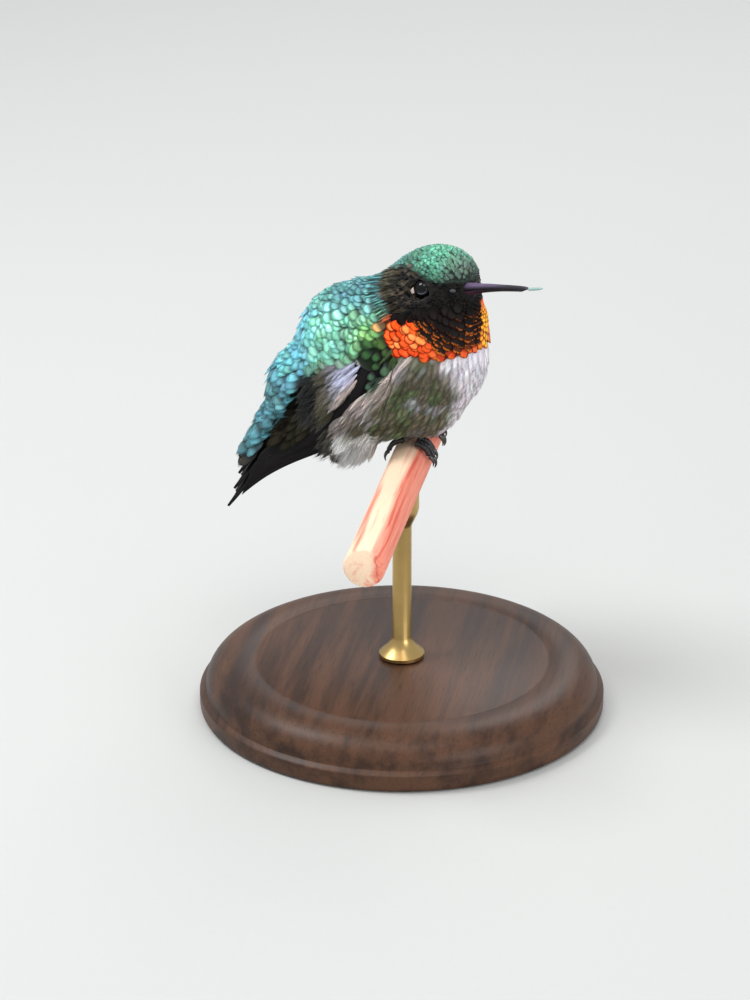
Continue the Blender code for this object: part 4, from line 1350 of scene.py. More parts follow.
class HUMMINGBIRD_OT_skin(bpy.types.Operator):
    """One skin under the whole coat, in place of the parted solids of flesh"""

    bl_idname = "hummingbird.skin"
    bl_label = "Skin"

    def execute(self, context):
        mesh = melted(gathered(FLESH, GROWTH), voxel=0.45, rounds=9)
        places, normals = vertex_arrays(mesh)
        move_vertices(mesh, places - normals * (GROWTH + coat_depth(places))[:, None])
        mesh = melted(mesh, voxel=0.42, rounds=3)
        mesh.name = "skin"
        skin = bpy.data.objects.new("skin", mesh)
        context.scene.collection.objects.link(skin)
        mesh.materials.clear()
        mesh.materials.append(skin_finish())
        mesh.polygons.foreach_set("use_smooth", np.ones(len(mesh.polygons), bool))
        colour, gloss = markings(vertex_arrays(mesh)[0])
        set_tint(skin, colour)
        set_numbers(skin, gloss=gloss)
        unwrap(skin)
        mount(skin, "grey_plumage", *FLESH)
        return {"FINISHED"}


class HUMMINGBIRD_OT_scales(bpy.types.Operator):
    """Iridescent feathers of the crown, back, rump and wing coverts"""

    bl_idname = "hummingbird.scales"
    bl_label = "Iridescent feathers"

    def execute(self, context):
        draw = new_draw(1)
        small = vane_pattern(6, 7, 0.42, 0.04, 0.03, waist=0.5)
        small = small.with_part(margin_barbs(8, 0.045, 0.09, 0.1, 0.42, waist=0.5))
        broad = vane_pattern(8, 9, 0.36, 0.08, 0.04, waist=0.45)
        broad = broad.with_part(margin_barbs(22, 0.07, 0.1, 0.1, 0.36))
        long = vane_pattern(9, 9, 0.62, 0.08, 0.04, waist=0.5, point=1.6)
        long = long.with_part(margin_barbs(20, 0.07, 0.12, 0.14, 0.62, point=1.6, waist=0.5))
        crown = scale_finish("crown_scales", 0.1, 0.45, 0.42, 0.45, 0.12)
        body = scale_finish("back_scales", 0.16, 0.46, 0.45, 0.4, 0.3, 0.42)
        disc = scale_finish("covert_scales", 0.08, 0.35, 0.45, 0.35, 0.04)
        slot = "iridescent_plumage"
        lay_feathers("crown", small, crown, slot, draw)
        lay_feathers("back", broad, body, slot, draw, shown=2)
        lay_feathers("rump", long, body, slot, draw)
        lay_feathers("covert", broad, disc, slot, draw)
        lay_feathers("tertial", long, plume_finish("dull_coverts", 0.6, sheen=0.0), "flight_feathers", draw)
        return {"FINISHED"}


class HUMMINGBIRD_OT_gorget(bpy.types.Operator):
    """The gorget's broad shining scales"""

    bl_idname = "hummingbird.gorget"
    bl_label = "Gorget"

    def execute(self, context):
        draw = new_draw(2)
        disc = vane_pattern(9, 11, 0.4, 0.12, 0.05, waist=0.5)
        disc = disc.with_part(margin_barbs(14, 0.05, 0.03, 0.03, 0.4, waist=0.5))
        lay_feathers("gorget", disc, gorget_finish(), "gorget", draw, shown=3)
        return {"FINISHED"}


class HUMMINGBIRD_OT_face(bpy.types.Operator):
    """Tiny feathers of the face and the hair-like ones behind the eye"""

    bl_idname = "hummingbird.face"
    bl_label = "Face"

    def execute(self, context):
        draw = new_draw(3)
        finish = plume_finish("face_feathers", 0.55, 0.75, sheen=0.02)
        tiny = vane_pattern(4, 5, 0.7, 0.05, 0.03, waist=0.5, point=1.2)
        hair = vane_pattern(4, 3, 0.8, 0.02, 0.03, waist=0.6, point=1.1, width=0.35)
        hair = hair.with_part(barb_pattern(6, 0.05, 0.34, 0.55, start=0.15, end=0.85, hold=0.2, stops=1))
        lay_feathers("face", tiny, finish, "iridescent_plumage", draw)
        lay_feathers("ear", hair, finish, "iridescent_plumage", draw)
        return {"FINISHED"}


class HUMMINGBIRD_OT_plumes(bpy.types.Operator):
    """Soft grey, white and lilac feathers of the under parts and of the down over the wing"""

    bl_idname = "hummingbird.plumes"
    bl_label = "Soft feathers"

    def execute(self, context):
        draw = new_draw(4)
        finish = plume_finish("soft_plumes", 0.92)
        soft = vane_pattern(6, 7, 0.75, 0.06, 0.03, waist=0.5, width=0.8, point=1.5)
        soft = soft.with_part(margin_barbs(26, 0.07, 0.26, 0.34, 0.75, point=1.5, waist=0.4))
        narrow = vane_pattern(6, 3, 0.7, 0.05, 0.035, waist=0.5, width=0.3)
        wisp = narrow.with_part(barb_pattern(9, 0.075, 0.46, 0.8, hold=0.2))
        lay_feathers("breast", soft, finish, "grey_plumage", draw, roll=0.03)
        lay_feathers("flank", soft, finish, "grey_plumage", draw)
        for name in ("fringe", "tuft", "vent", "undertail"):
            lay_feathers(name, wisp, finish, "grey_plumage", draw, hang=0.5 if name == "vent" else 0.0)
        return {"FINISHED"}


# ---------------------------------------------------------------- wings and tail


def flight_finish(name, sheen_strength, green=False):
    """Dark flight feathers with a fine barb grain, patches of painted purple-brown sheen and a paler shaft.
    """
    look = settings("flight")
    finish = Finish(name, Specular_IOR_Level=0.15)
    along, across, luck = finish.attributes("along", "across", "luck")
    lines = barb_waves(along, across, 330.0, 0.07)
    sheen_noise = finish.noise(1.4, 4.0)
    shaft = finish.between(abs(across), 0.05, 0.13, 1.0, 0.0)
    # Painted sheen: purple-brown patches on the vanes.
    colour = finish.mix(sheen_noise * sheen_strength, look.tail_green if green else look.blade, look.sheen)
    colour = finish.scaled(colour, (0.8 + 0.3 * lines) * (0.8 + 0.4 * luck))
    colour = finish.mix(shaft * 0.5, colour, look.sheen)
    if green:
        colour = finish.mix(finish.between(along, 0.8, 0.98), colour, look.blade)
    return finish.feed(
        Base_Color=colour, Roughness=0.5 + 0.16 * sheen_noise,
        Normal=finish.bump(lines + shaft * 2.0, 0.3, 0.04),
    )


def plate(rows, columns, surface, thickness):
    """A thin curved plate: the places of its two faces, and its flat pattern."""
    flat = vane_pattern(rows, columns, 0.0, 0.0, 0.0, waist=1.0)
    levels = [thickness / 2] * (rows * columns) + [-thickness / 2] * (rows * columns)
    places = [surface(*spot) for spot in zip(flat.along.tolist(), flat.across.tolist(), levels)]
    return np.array(places), flat


def plates_piece(name, plates, material, slot, *replaced):
    """Joins several plates to one piece that keeps each feather's shares."""
    draw = np.random.default_rng(len(plates))
    points, faces = joined([(places, [flat.quads]) for places, flat in plates])
    obj = add_mesh(name, points, faces, material)
    set_numbers(
        obj,
        along=np.concatenate([flat.along for _, flat in plates]),
        across=np.concatenate([flat.across for _, flat in plates]),
        luck=np.concatenate([np.full(len(places), draw.random()) for places, _ in plates]),
    )
    mount(obj, slot, *replaced)


WRIST = np.array([-2.6, -10.4, 20.6])
WING_TIP = np.array([-27.3, -5.0, -7.7])
WING_CHORD = 37.5
WING_BOW = 5.6
PRIMARY_REACHES = (10.0, 14.5, 18.5, 22.3, 25.8, 29.2, 32.0, 34.6, 36.6, WING_CHORD)
PRIMARY_STEP = 0.82


def wing_axes():
    chord = unit(WING_TIP - WRIST)
    outward = np.array([-0.16, -1.0, 0.12])
    outward = unit(outward - chord * (outward @ chord))
    leading = unit(np.cross(chord, outward))
    return chord, leading * (1 if leading[0] > 0 else -1), outward


def wing_edge(along):
    share = along / WING_CHORD
    return WING_BOW * math.sin(math.pi * share ** 0.62) ** 2 + 0.6 * (1 - share)


def wing_trailing(along, rank):
    """The rear edge of the blade as far as the primary of this rank, 0 being the innermost."""
    share = along / WING_CHORD
    rear = wing_edge(along) - 1.7 * math.sqrt(max(1 - share, 0.0) * 4.0 + 0.02)
    for reach in PRIMARY_REACHES[rank:-1]:
        if along < reach:
            rear -= PRIMARY_STEP * min(1.0, ((reach - along) / 3.2) ** 0.5)
    return max(rear, wing_edge(along) - 7.5)


def primary_plate(rank, side, thickness):
    """One primary of a folded wing, lying over the next longer one."""
    chord, leading_axis, outward = wing_axes()
    reach = PRIMARY_REACHES[rank]
    order = len(PRIMARY_REACHES) - 1 - rank  # 0 for the outermost
    start = 2.0

    def surface(s, c, level):
        along = start + (reach - start) * (1 - (1 - s) ** 1.25)
        share = along / WING_CHORD
        front = wing_edge(along) - 0.42 * order * (1 - 0.3 * share)
        rear = min(wing_trailing(along, rank), front - 0.3)
        close = max(0.0, (s - 0.86) / 0.14)
        tip = math.sqrt(max(1 - close ** 2, 0.0)) * 0.96 + 0.04
        middle = front * 0.7 + rear * 0.3
        across = middle + (front - middle if c > 0 else middle - rear) * c * tip
        fold = 0.34 * min(across, 1.0) * (1 - share) - 0.03 * max(across, 0.0) ** 2 * (1 - share)
        hug = 0.5 * math.sin(2 * math.pi * share)
        layer = (order - 4.5) * 0.042
        ridge = 0.05 * max(0.0, 1 - abs(c) * 7)
        bow = -0.05 * c * c
        height = hug + fold + layer + level + ridge + bow
        point = WRIST + chord * along + leading_axis * across + outward * height
        return point * np.array([1, side, 1])

    return plate(30, 9, surface, thickness)


class HUMMINGBIRD_OT_wings(bpy.types.Operator):
    """The folded primaries, one thin vane over the next"""

    bl_idname = "hummingbird.wings"
    bl_label = "Wings"

    def execute(self, context):
        thickness = settings("flight").vane / MM
        finish = flight_finish("primaries", 0.55)
        for side, word in ((1, "right"), (-1, "left")):
            plates = [primary_plate(rank, side, thickness) for rank in range(len(PRIMARY_REACHES))]
            name = f"wing_{word}_vanes"
            plates_piece(name, plates, finish, "flight_feathers", f"wing_{word}_primaries")
        return {"FINISHED"}


TAIL_LENGTHS = (16.3, 17.8, 19.6, 22.1, 25.1)
TAIL_WIDTHS = (3.5, 3.7, 3.6, 3.3, 2.8)
TAIL_ROOT = np.array([-15.5, 0.0, 10.6])
TAIL_SLOPE = math.radians(53.5)
TAIL_FAN = math.radians(1.6)
TAIL_LAYER = 0.8


def tail_frame(rank, side):
    """Root, direction, outward side and upper side of one tail feather."""
    share = rank / (len(TAIL_LENGTHS) - 1)
    spread = TAIL_FAN * share + math.radians(1.0)
    along = unit(np.array([-math.cos(TAIL_SLOPE), side * math.sin(spread), -math.sin(TAIL_SLOPE)]))
    tilt = math.radians(6 + 17 * share)
    flat = np.array([0.0, side, 0.0])
    across = unit(flat - along * (flat @ along))
    up = np.cross(across, along) * side
    up = up if up[2] > 0 else -up
    outward = across * math.cos(tilt) - up * math.sin(tilt)
    normal = across * math.sin(tilt) + up * math.cos(tilt)
    layer = TAIL_LAYER * (len(TAIL_LENGTHS) - 1 - rank)
    root = TAIL_ROOT + (0.0, side * (1.9 + 0.1 * rank), 0.0) + up * layer
    return root, along, outward, normal


def rectrix_plate(rank, side, thickness):
    root, direction, outward, normal = tail_frame(rank, side)
    length, width = TAIL_LENGTHS[rank], TAIL_WIDTHS[rank]
    point_share = 0.42 + 0.05 * rank
    start = 3.0 / length

    def surface(s, c, level):
        share = start + (1 - start) * s
        narrow = 1.0
        if share > point_share:
            narrow = math.cos((share - point_share) / (1 - point_share) * math.pi / 2) ** 0.8
        half = 0.5 * width * min(1.0, 0.45 + 1.6 * share) * max(narrow, 0.05)
        height = level + 0.1 * max(0.0, 1 - abs(c) * 6) - 0.16 * c * c
        along = share * length
        droop = 0.0016 * along * along
        return root + direction * along + outward * (half * c) + normal * (height - droop)

    return plate(34, 9, surface, thickness)


class HUMMINGBIRD_OT_tail(bpy.types.Operator):
    """The ten tail feathers, the middle pair green and the outer ones black"""

    bl_idname = "hummingbird.tail"
    bl_label = "Tail"

    def execute(self, context):
        thickness = settings("flight").vane / MM * 1.6
        green = flight_finish("tail_middle", 0.3, green=True)
        black = flight_finish("tail_outer", 0.45)
        for side, word in SIDES:
            for rank in range(len(TAIL_LENGTHS)):
                plates = [rectrix_plate(rank, side, thickness)]
                name, finish = f"tail_{word}_vane_{rank + 1}", green if rank == 0 else black
                plates_piece(name, plates, finish, "flight_feathers", f"tail_feather_{word}_{rank + 1}")
        return {"FINISHED"}


# ---------------------------------------------------------------- head


def tube_piece(name, stations, segments, material, slot, *replaced, shape=None):
    """A tube that is a piece of its own."""
    points, faces = tube(stations, segments, shape)
    return mount(add_mesh(name, points, faces, material), slot, *replaced)


def head_run(spots, radii, side=1):
    """Rings, upright across the bill, for a tube along places that are told as from the head."""
    return [(from_head(p), HEAD_AXES[:, 1] * side, HEAD_AXES[:, 2], r) for p, r in zip(spots, radii)]


BILL_SHARES = (0, 0.14, 0.35, 0.62, 0.88, 0.97, 1.0)
BILL_RADII = (1.15, 0.95, 0.68, 0.50, 0.42, 0.36, 0.2)
UPPER_TIP, LOWER_TIP = 19.2, 18.7
# A painted red-purple sheen under the root of the bill.
BILL_RUDDY_SHEEN = paint(96, 52, 70)


def roof(turn):
    """The upper half's section: nearly round, with a low ridge."""
    c, s = math.cos(turn), math.sin(turn)
    ridge = 0.10 * max(0.0, s) ** 8
    return c * (1 - 0.06 * max(0.0, s)), max(s, 0.0) * 1.06 + ridge + (0.0 if s > 0 else 0.02 * s)


def trough(turn):
    """The lower half's section: a shallow keel."""
    return math.cos(turn) * 0.9, min(math.sin(turn), 0.0) * 0.86


def flap_oval(turn):
    return math.cos(turn) * 0.8, math.sin(turn)


def grooved(turn):
    """The tongue's section: a tongue is grooved along its top."""
    s = math.sin(turn)
    return math.cos(turn), s * 0.8 - 0.3 * max(0.0, s) ** 6


def bill_finish():
    """Purple-black horn, with painted sheen: blue-grey along the ridge near the root and red-purple under
    it.
    """
    look = settings("head")
    finish = Finish("bill_horn", Specular_IOR_Level=0.35, Coat_Weight=0.12, Coat_Roughness=0.3)
    ridge, run = finish.attributes("ridge", "along")
    grain = finish.noise(1.6, 5.0, 0.6)
    fine = finish.noise(3.0, stretch=(0.5, 0.5, 4.0))
    # Painted highlight: a blue-grey sheen along the ridge, fading towards the tip.
    painted_highlight = finish.between(ridge, 0.1, 0.85) * (0.45 + 0.6 * grain) * finish.between(run, 0.8, 0.4, 0.04, 1.0)
    colour = finish.mix(painted_highlight.clamped(), look.bill, look.culmen_sheen)
    # Painted sheen: red-purple under the root.
    ruddy_sheen = finish.between(ridge, 0.1, -0.4) * finish.between(run, 0.45, 0.1, 0.0, 0.6)
    colour = finish.mix(ruddy_sheen, colour, BILL_RUDDY_SHEEN)
    return finish.feed(
        Base_Color=colour, Roughness=0.28 + 0.2 * grain, Normal=finish.bump(fine, 0.25, 0.05)
    )


def nostril_finish():
    finish = Finish("nostril_flap", Specular_IOR_Level=0.4)
    return finish.grained(finish.noise(5.0), settings("head").nostril, (0.7, 0.6), (0.5, 0.2), (0.3, 0.05))


def tongue_finish():
    finish = Finish("tongue_skin", Specular_IOR_Level=0.6, Coat_Weight=0.6, Coat_Roughness=0.1)
    vein = finish.noise(2.5, 2.0)
    return finish.grained(vein, settings("head").tongue, (0.85, 0.3), (0.25, 0.1), (0.2, 0.04))


def bill_half(name, upper, tip, material):
    """One half of the bill: a ridged roof above or a keeled trough below."""
    end = (tip - BILL_ROOT) / BILL_LENGTH
    gape = BILL_DROP - 0.12 + (0.05 if upper else -0.03)
    spots, radii = [], []
    for number in range(49):
        share = end * number / 48
        radius = np.interp(share, BILL_SHARES, BILL_RADII)
        if not upper:
            radius *= 0.15 + 0.85 * float(step(end, end - 0.08, share))
        spots.append([BILL_ROOT + share * BILL_LENGTH, 0.0, gape + bill_bow(share)])
        radii.append(radius)
    points, faces = tube(head_run(spots, radii), 28, roof if upper else trough)
    half = add_mesh(name + "_horn", points, faces, material)
    head = in_head(points)
    along = (head[:, 0] - BILL_ROOT) / BILL_LENGTH
    above = (head[:, 2] - BILL_DROP - bill_bow(along)) / np.interp(along, BILL_SHARES, BILL_RADII)
    set_numbers(half, ridge=np.clip(above, -1, 1), along=np.clip(along, 0, 1))
    mount(half, "bill_horn", name)


class HUMMINGBIRD_OT_bill(bpy.types.Operator):
    """The bill's two halves, its nostril flaps and the tip of the tongue"""

    bl_idname = "hummingbird.bill"
    bl_label = "Bill and tongue"

    def execute(self, context):
        horn = bill_finish()
        bill_half("bill_upper", True, UPPER_TIP, horn)
        bill_half("bill_lower", False, LOWER_TIP, horn)
        flap = nostril_finish()
        for side, word in SIDES:
            spots = [(4.35 + 0.85 * s, side * (3.04 - 0.5 * s), -0.52 - 0.14 * s) for s in shares(13)]
            radii = [0.27 * math.sqrt(max(1 - (2 * s - 1) ** 2, 0.002)) for s in shares(13)]
            tube_piece(f"nostril_{word}", head_run(spots, radii), 14, flap, "bill_horn", shape=flap_oval)
        spots = [(UPPER_TIP + 0.15 + 2.9 * s, 0.0, BILL_DROP - 0.03) for s in shares(22)]
        radii = np.interp(shares(22), (0, 0.4, 0.8, 1.0), (0.34, 0.34, 0.3, 0.16))
        tongue = head_run(spots, radii)
        tube_piece("tongue_tip", tongue, 16, tongue_finish(), "tongue", "tongue", shape=grooved)
        return {"FINISHED"}


IRIS_LIGHT, IRIS_DARK = paint(16, 10, 8), paint(8, 6, 6)
LID_DARK = paint(10, 9, 9)
SPOT_WHITE = paint(238, 218, 210)
LID_RIMS = ((0.0, -0.06), (0.0, 0.05), (0.18, 0.09), (0.5, 0.06), (1.0, -0.08), (1.0, -0.2))
LID_STEPS = 56


def eye_finish():
    """A near-black ball with a trace of brown away from its middle."""
    finish = Finish("eye_gloss", Specular_IOR_Level=0.28)
    (rim,) = finish.attributes("rim")
    iris = finish.noise(6.0)
    brown = finish.mix(iris, IRIS_LIGHT, IRIS_DARK)
    colour = finish.mix(finish.between(rim, 0.35, 0.6), settings("head").eye, brown)
    return finish.feed(Base_Color=colour, Roughness=0.05 + 0.03 * iris)


def lid_finish():
    """Dark beaded skin with a blue-grey lower edge."""
    finish = Finish("eyelid_skin", Specular_IOR_Level=0.12)
    (low,) = finish.attributes("low")
    colour = finish.mix(low * 0.8, LID_DARK, settings("head").lid)
    return finish.grained(finish.noise(7.0, 2.0), colour, (0.7, 0.6), (0.45, 0.2), (0.5, 0.06))


def spot_finish():
    finish = Finish("white_spot", Specular_IOR_Level=0.2, Roughness=0.8)
    return finish.grained(finish.noise(6.0), SPOT_WHITE, (0.75, 0.35), relief=(0.4, 0.05))


def eyeball(side, word, material):
    middle = from_head(EYE_PLACE * (1, side, 1))
    stations = []
    for number in range(25):
        turn = math.pi * number / 24
        centre = middle - HEAD_AXES[:, 1] * side * (EYE_RADIUS * math.cos(turn))
        stations.append((centre, HEAD_AXES[:, 0], HEAD_AXES[:, 2], EYE_RADIUS * math.sin(turn) + 1e-4))
    points, faces = tube(stations, 40)
    ball = add_mesh(f"eye_{word}_ball", points, faces, material)
    gaze = (EYE_LOOK * (1, side, 1)) @ HEAD_AXES.T
    set_numbers(ball, rim=np.linalg.norm(np.cross(points - middle, gaze), axis=1) / EYE_RADIUS)
    mount(ball, "eye", f"eye_{word}")


def eyelid(side, word, material):
    """A band of bare skin that hugs the ball, open in an oval over its middle."""
    ahead = unit(np.array([EYE_LOOK[1], -EYE_LOOK[0], 0.0]))
    above = np.cross(ahead, EYE_LOOK)
    points, low = [], []
    for number in range(LID_STEPS):
        turn = 2 * math.pi * number / LID_STEPS
        for share, over in LID_RIMS:
            local = ahead * ((0.9 + 0.5 * share) * math.cos(turn))
            local = local + above * ((0.82 + 0.54 * share) * math.sin(turn))
            local = local + EYE_LOOK * math.sqrt(max(EYE_RADIUS ** 2 - local @ local, 0.02))
            beaded = 1 + 0.02 * math.sin(turn * 17) * (0.1 < share < 0.9)
            local = local * (EYE_RADIUS + over) / np.linalg.norm(local) * beaded
            points.append(from_head((local + EYE_PLACE) * (1, side, 1)))
            low.append(float(step(-0.45, -0.9, math.sin(turn))) * (share < 0.1))
    size = len(LID_RIMS)
    quads = [
        (a * size + i, a * size + (i + 1) % size, b * size + (i + 1) % size, b * size + i)
        for a, b in zip(range(LID_STEPS), [*range(1, LID_STEPS), 0]) for i in range(size)
    ]
    if side > 0:
        quads = [quad[::-1] for quad in quads]
    lid = add_mesh(f"eyelid_{word}", np.array(points), [np.array(quads)], material)
    set_numbers(lid, low=low)
    mount(lid, "eye")


def white_spot(side, word, material):
    """A little fan of white strands behind the eye."""
    strands = []
    for number in range(9):
        lean, uneven = (number - 4) * 0.1, 0.05 * (number % 2)
        spots = [
            (
                EYE_PLACE[0] - 0.98 - 1.15 * s,
                side * (EYE_PLACE[1] + 1.24 + 0.3 * s + uneven),
                EYE_PLACE[2] + 0.1 + lean * (1.0 - 0.6 * s) - 0.5 * s,
            )
            for s in shares(5)
        ]
        strands.append(tube(head_run(spots, [0.075 * (1 - 0.75 * s) for s in shares(5)], side), 5))
    points, faces = joined(strands)
    mount(add_mesh(f"eye_spot_{word}", points, faces, material), "grey_plumage")


class HUMMINGBIRD_OT_eyes(bpy.types.Operator):
    """Glossy dark eyes, with a thin lid round each and a white spot behind it"""

    bl_idname = "hummingbird.eyes"
    bl_label = "Eyes and lids"

    def execute(self, context):
        gloss, skin, white = eye_finish(), lid_finish(), spot_finish()
        for side, word in SIDES:
            eyeball(side, word, gloss)
            eyelid(side, word, skin)
            white_spot(side, word, white)
        return {"FINISHED"}


# ---------------------------------------------------------------- feet

TOES = {"inner": (60.0, -1.75), "middle": (70.0, -0.1), "outer": (57.0, 1.6), "hind": (-62.0, -0.3)}
CLAW_REACH = 26.0
TOE_ROOT_ANGLE = 14.0
TOE_RADIUS = 0.48
FOOT_SPREAD = 4.7
TOE_LIFT = TOE_RADIUS + 0.22


def round_dowel(angle, sideways, lift):
    """A place off the dowel's surface, at an angle forwards from its top."""
    turn = math.radians(angle)
    radius = PERCH_RADIUS + lift
    return np.array([radius * math.sin(turn), sideways, radius * math.cos(turn)])


def along_run(places, radii):
    """Rings for a tube along a run of places."""
    places = np.asarray(places)
    ahead = unit(np.gradient(places, axis=0))
    aside = unit(np.cross(ahead, np.array([0.0, 1.0, 0.02])))
    return [(p, s, np.cross(a, s), r) for p, s, a, r in zip(places, aside, ahead, radii)]


def foot_finish():
    """Black skin with painted blue-grey highlights on the edges of its scutes."""
    look = settings("perch")
    finish = Finish("foot_skin", Specular_IOR_Level=0.5, Coat_Weight=0.15, Coat_Roughness=0.3)
    (scute,) = finish.attributes("scute")
    # Painted highlights: blue-grey on the scutes' edges.
    colour = finish.mix(finish.between(scute, 0.72, 1.0) * 0.6, look.foot, look.foot_scute_glint)
    return finish.grained(finish.noise(5.0, 4.0), colour, (0.65, 0.7), (0.32, 0.25), (0.4, 0.05))


CLAW_BLACK, CLAW_BROWN = paint(14, 12, 14), paint(44, 36, 38)


def claw_finish():
    finish = Finish("claw_horn", Specular_IOR_Level=0.6, Coat_Weight=0.4, Coat_Roughness=0.15)
    grain = finish.noise(3.0)
    colour = finish.mix(grain, CLAW_BLACK, CLAW_BROWN)
    return finish.feed(Base_Color=colour, Roughness=0.2 + 0.15 * grain, Normal=finish.bump(grain, 0.2, 0.03))


def scaled_tube(name, places, radii, scutes, segments, material):
    """A tube of foot skin that keeps how near each ring is to the edge of a scute."""
    piece = tube_piece(name + "_skin", along_run(places, radii), segments, material, "foot_skin", name)
    set_numbers(piece, scute=np.append(np.repeat(scutes, segments), [0, 0]))


def leg(side, word, material):
    top = np.array([-2.6, side * (FOOT_SPREAD - 0.6), 8.6])
    bottom = round_dowel(0, side * FOOT_SPREAD, 0.95)
    along = np.linspace(0, 1, 40)
    radii = np.interp(along, (0, 0.35, 0.7, 0.92, 1.0), (0.75, 0.52, 0.46, 0.6, 0.5))
    scutes = np.abs(np.sin(along * math.pi * 9))
    places = [top * (1 - s) + bottom * s for s in along]
    scaled_tube(f"leg_{word}", places, radii * (0.95 + 0.06 * scutes), scutes, 16, material)


def toe(side, word, which, material):
    reach, splay = TOES[which]
    start = math.copysign(TOE_ROOT_ANGLE, reach)
    places, radii, scutes = [], [], []
    for share in shares(56):
        angle = start + (reach - start) * share
        sideways = side * (FOOT_SPREAD + splay * (0.62 + 0.38 * share))
        places.append(round_dowel(angle, sideways, TOE_LIFT + 0.25 * math.sin(share * math.pi)))
        scute = abs(math.sin(share * math.pi * 7)) ** 0.6
        knuckle = 0.03 * math.cos(share * math.pi * 4)
        blunt = min(1.0, 0.55 + share * 9, 0.5 + (1 - share) * 9)
        radii.append((TOE_RADIUS * (1.06 - 0.22 * share) + knuckle) * (0.9 + 0.1 * scute) * blunt)
        scutes.append(1 - scute)
    scaled_tube(f"toe_{word}_{which}", places, radii, scutes, 18, material)


def claw(side, word, which, material):
    reach, splay = TOES[which]
    forwards = math.copysign(1, reach)
    begin = reach + forwards * math.degrees(0.1 / (PERCH_RADIUS + TOE_LIFT))
    places, radii = [], []
    for share in shares(22):
        raised = TOE_LIFT + 0.28 * math.sin(share * math.pi * 0.8) - 0.12 * share ** 2
        angle = begin + forwards * CLAW_REACH * share
        places.append(round_dowel(angle, side * (FOOT_SPREAD + splay), raised))
        radii.append(0.34 * (1 - 0.85 * share ** 1.3) + 0.01)
    name = f"claw_{word}_{which}"
    tube_piece(name + "_horn", along_run(places, radii), 14, material, "claw_horn", name)


class HUMMINGBIRD_OT_feet(bpy.types.Operator):
    """Legs, scaled toes and claws gripping the dowel"""

    bl_idname = "hummingbird.feet"
    bl_label = "Feet"

    def execute(self, context):
        skin, horn = foot_finish(), claw_finish()
        for side, word in SIDES:
            leg(side, word, skin)
            for which in TOES:
                toe(side, word, which, skin)
                claw(side, word, which, horn)
        return {"FINISHED"}


# ---------------------------------------------------------------- perch and stand


CRACK_WIDTH = 0.07  # half a crack's width, in radians
BEVEL = 0.45


def crack_openings(low, high):
    """Where round the dowel and along it each crack lies, and half its length."""
    draw = np.random.default_rng(5)
    return [(draw.uniform(0, 6.28), draw.uniform(low, high), draw.uniform(4, 12)) for _ in range(16)]


def perch_radius(turn, y, end, cracks):
    """The dowel's radius at a bearing and a place: bevelled, a little uneven and cracked."""
    radius = PERCH_RADIUS - 0.03 - 0.32 * (1 - min(1.0, end / BEVEL)) ** 2
    radius += 0.025 * math.sin(3 * turn + y * 0.11) * math.sin(y * 0.23 + turn)
    for place, middle, length in cracks:
        gap = abs((turn - place + math.pi + 0.02 * math.sin(y)) % (2 * math.pi) - math.pi)
        if gap < CRACK_WIDTH and abs(y - middle) < length:
            radius -= 0.1 * (1 - gap / CRACK_WIDTH) * (1 - abs(y - middle) / length) ** 0.5
    return radius


def perch_finish():
    """Salmon wood with a cream band of painted sunlight along one side, reddish grain and fine cracks."""
    look = settings("perch")
    finish = Finish("perch_wood", Specular_IOR_Level=0.35)
    grain = finish.noise(1.1, 5.0, 0.62, stretch=(1.6, 0.055, 1.6))
    streak = finish.noise(1.0, stretch=(0.55, 0.03, 0.55))
    fibre = finish.noise(1.0, 3.0, 0.6, stretch=(6.0, 0.25, 6.0))
    spot = finish.node("ShaderNodeSeparateXYZ", sockets={0: finish.place()})
    wander = spot + (streak - 0.5) * 4.0
    # Painted light: a cream band where sunlight falls along one side.
    sunlit_band = finish.between(streak, 0.3, 0.5) * finish.between(wander, 2.0, 0.8)
    seam = finish.between(abs(wander - 2.0), 0.3, 0.08) * finish.between(grain, 0.62, 0.45)
    colour = finish.mix(finish.between(grain, 0.3, 0.75), look.grain, look.wood)
    colour = finish.mix(0.5, look.wood, colour)
    colour = finish.mix(sunlit_band * 0.9, colour, look.lit_cream)
    colour = finish.mix(seam * 0.6, colour, look.grain)
    colour = finish.mix(finish.between(grain, 0.34, 0.27) * 0.7, colour, look.grain)
    return finish.feed(
        Base_Color=finish.scaled(colour, 0.86 + 0.28 * fibre), Roughness=0.5 + 0.25 * fibre,
        Normal=finish.bump(fibre * 0.6 + grain, 0.45, 0.12),
    )


class HUMMINGBIRD_OT_perch(bpy.types.Operator):
    """The salmon dowel, with grain, fine cracks and cut ends"""

    bl_idname = "hummingbird.perch"
    bl_label = "Perch"

    def execute(self, context):
        low, high = (from_row(corner)[1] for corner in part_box("perch"))
        cracks = crack_openings(low, high)
        rings, around = 150, 96
        edge = np.array([0.0, 0.08, 0.22])
        between = np.linspace(BEVEL, high - low - BEVEL, rings)
        points = []
        for y in np.concatenate([edge, between, (high - low) - edge[::-1]]) + low:
            end = min(y - low, high - y)
            for i in range(around):
                turn = 2 * math.pi * i / around
                radius = perch_radius(turn, y, end, cracks)
                points.append((radius * math.cos(turn), y, radius * math.sin(turn)))
        points += [(0, low, 0), (0, high, 0)]
        faces = ring_faces(rings + 2 * len(edge), around)
        faces = [np.roll(block[:, ::-1], 1, 1) for block in faces]  # these rings turn the other way
        mount(add_mesh("perch_dowel", np.array(points), faces, perch_finish()), "perch_wood", "perch")
        return {"FINISHED"}


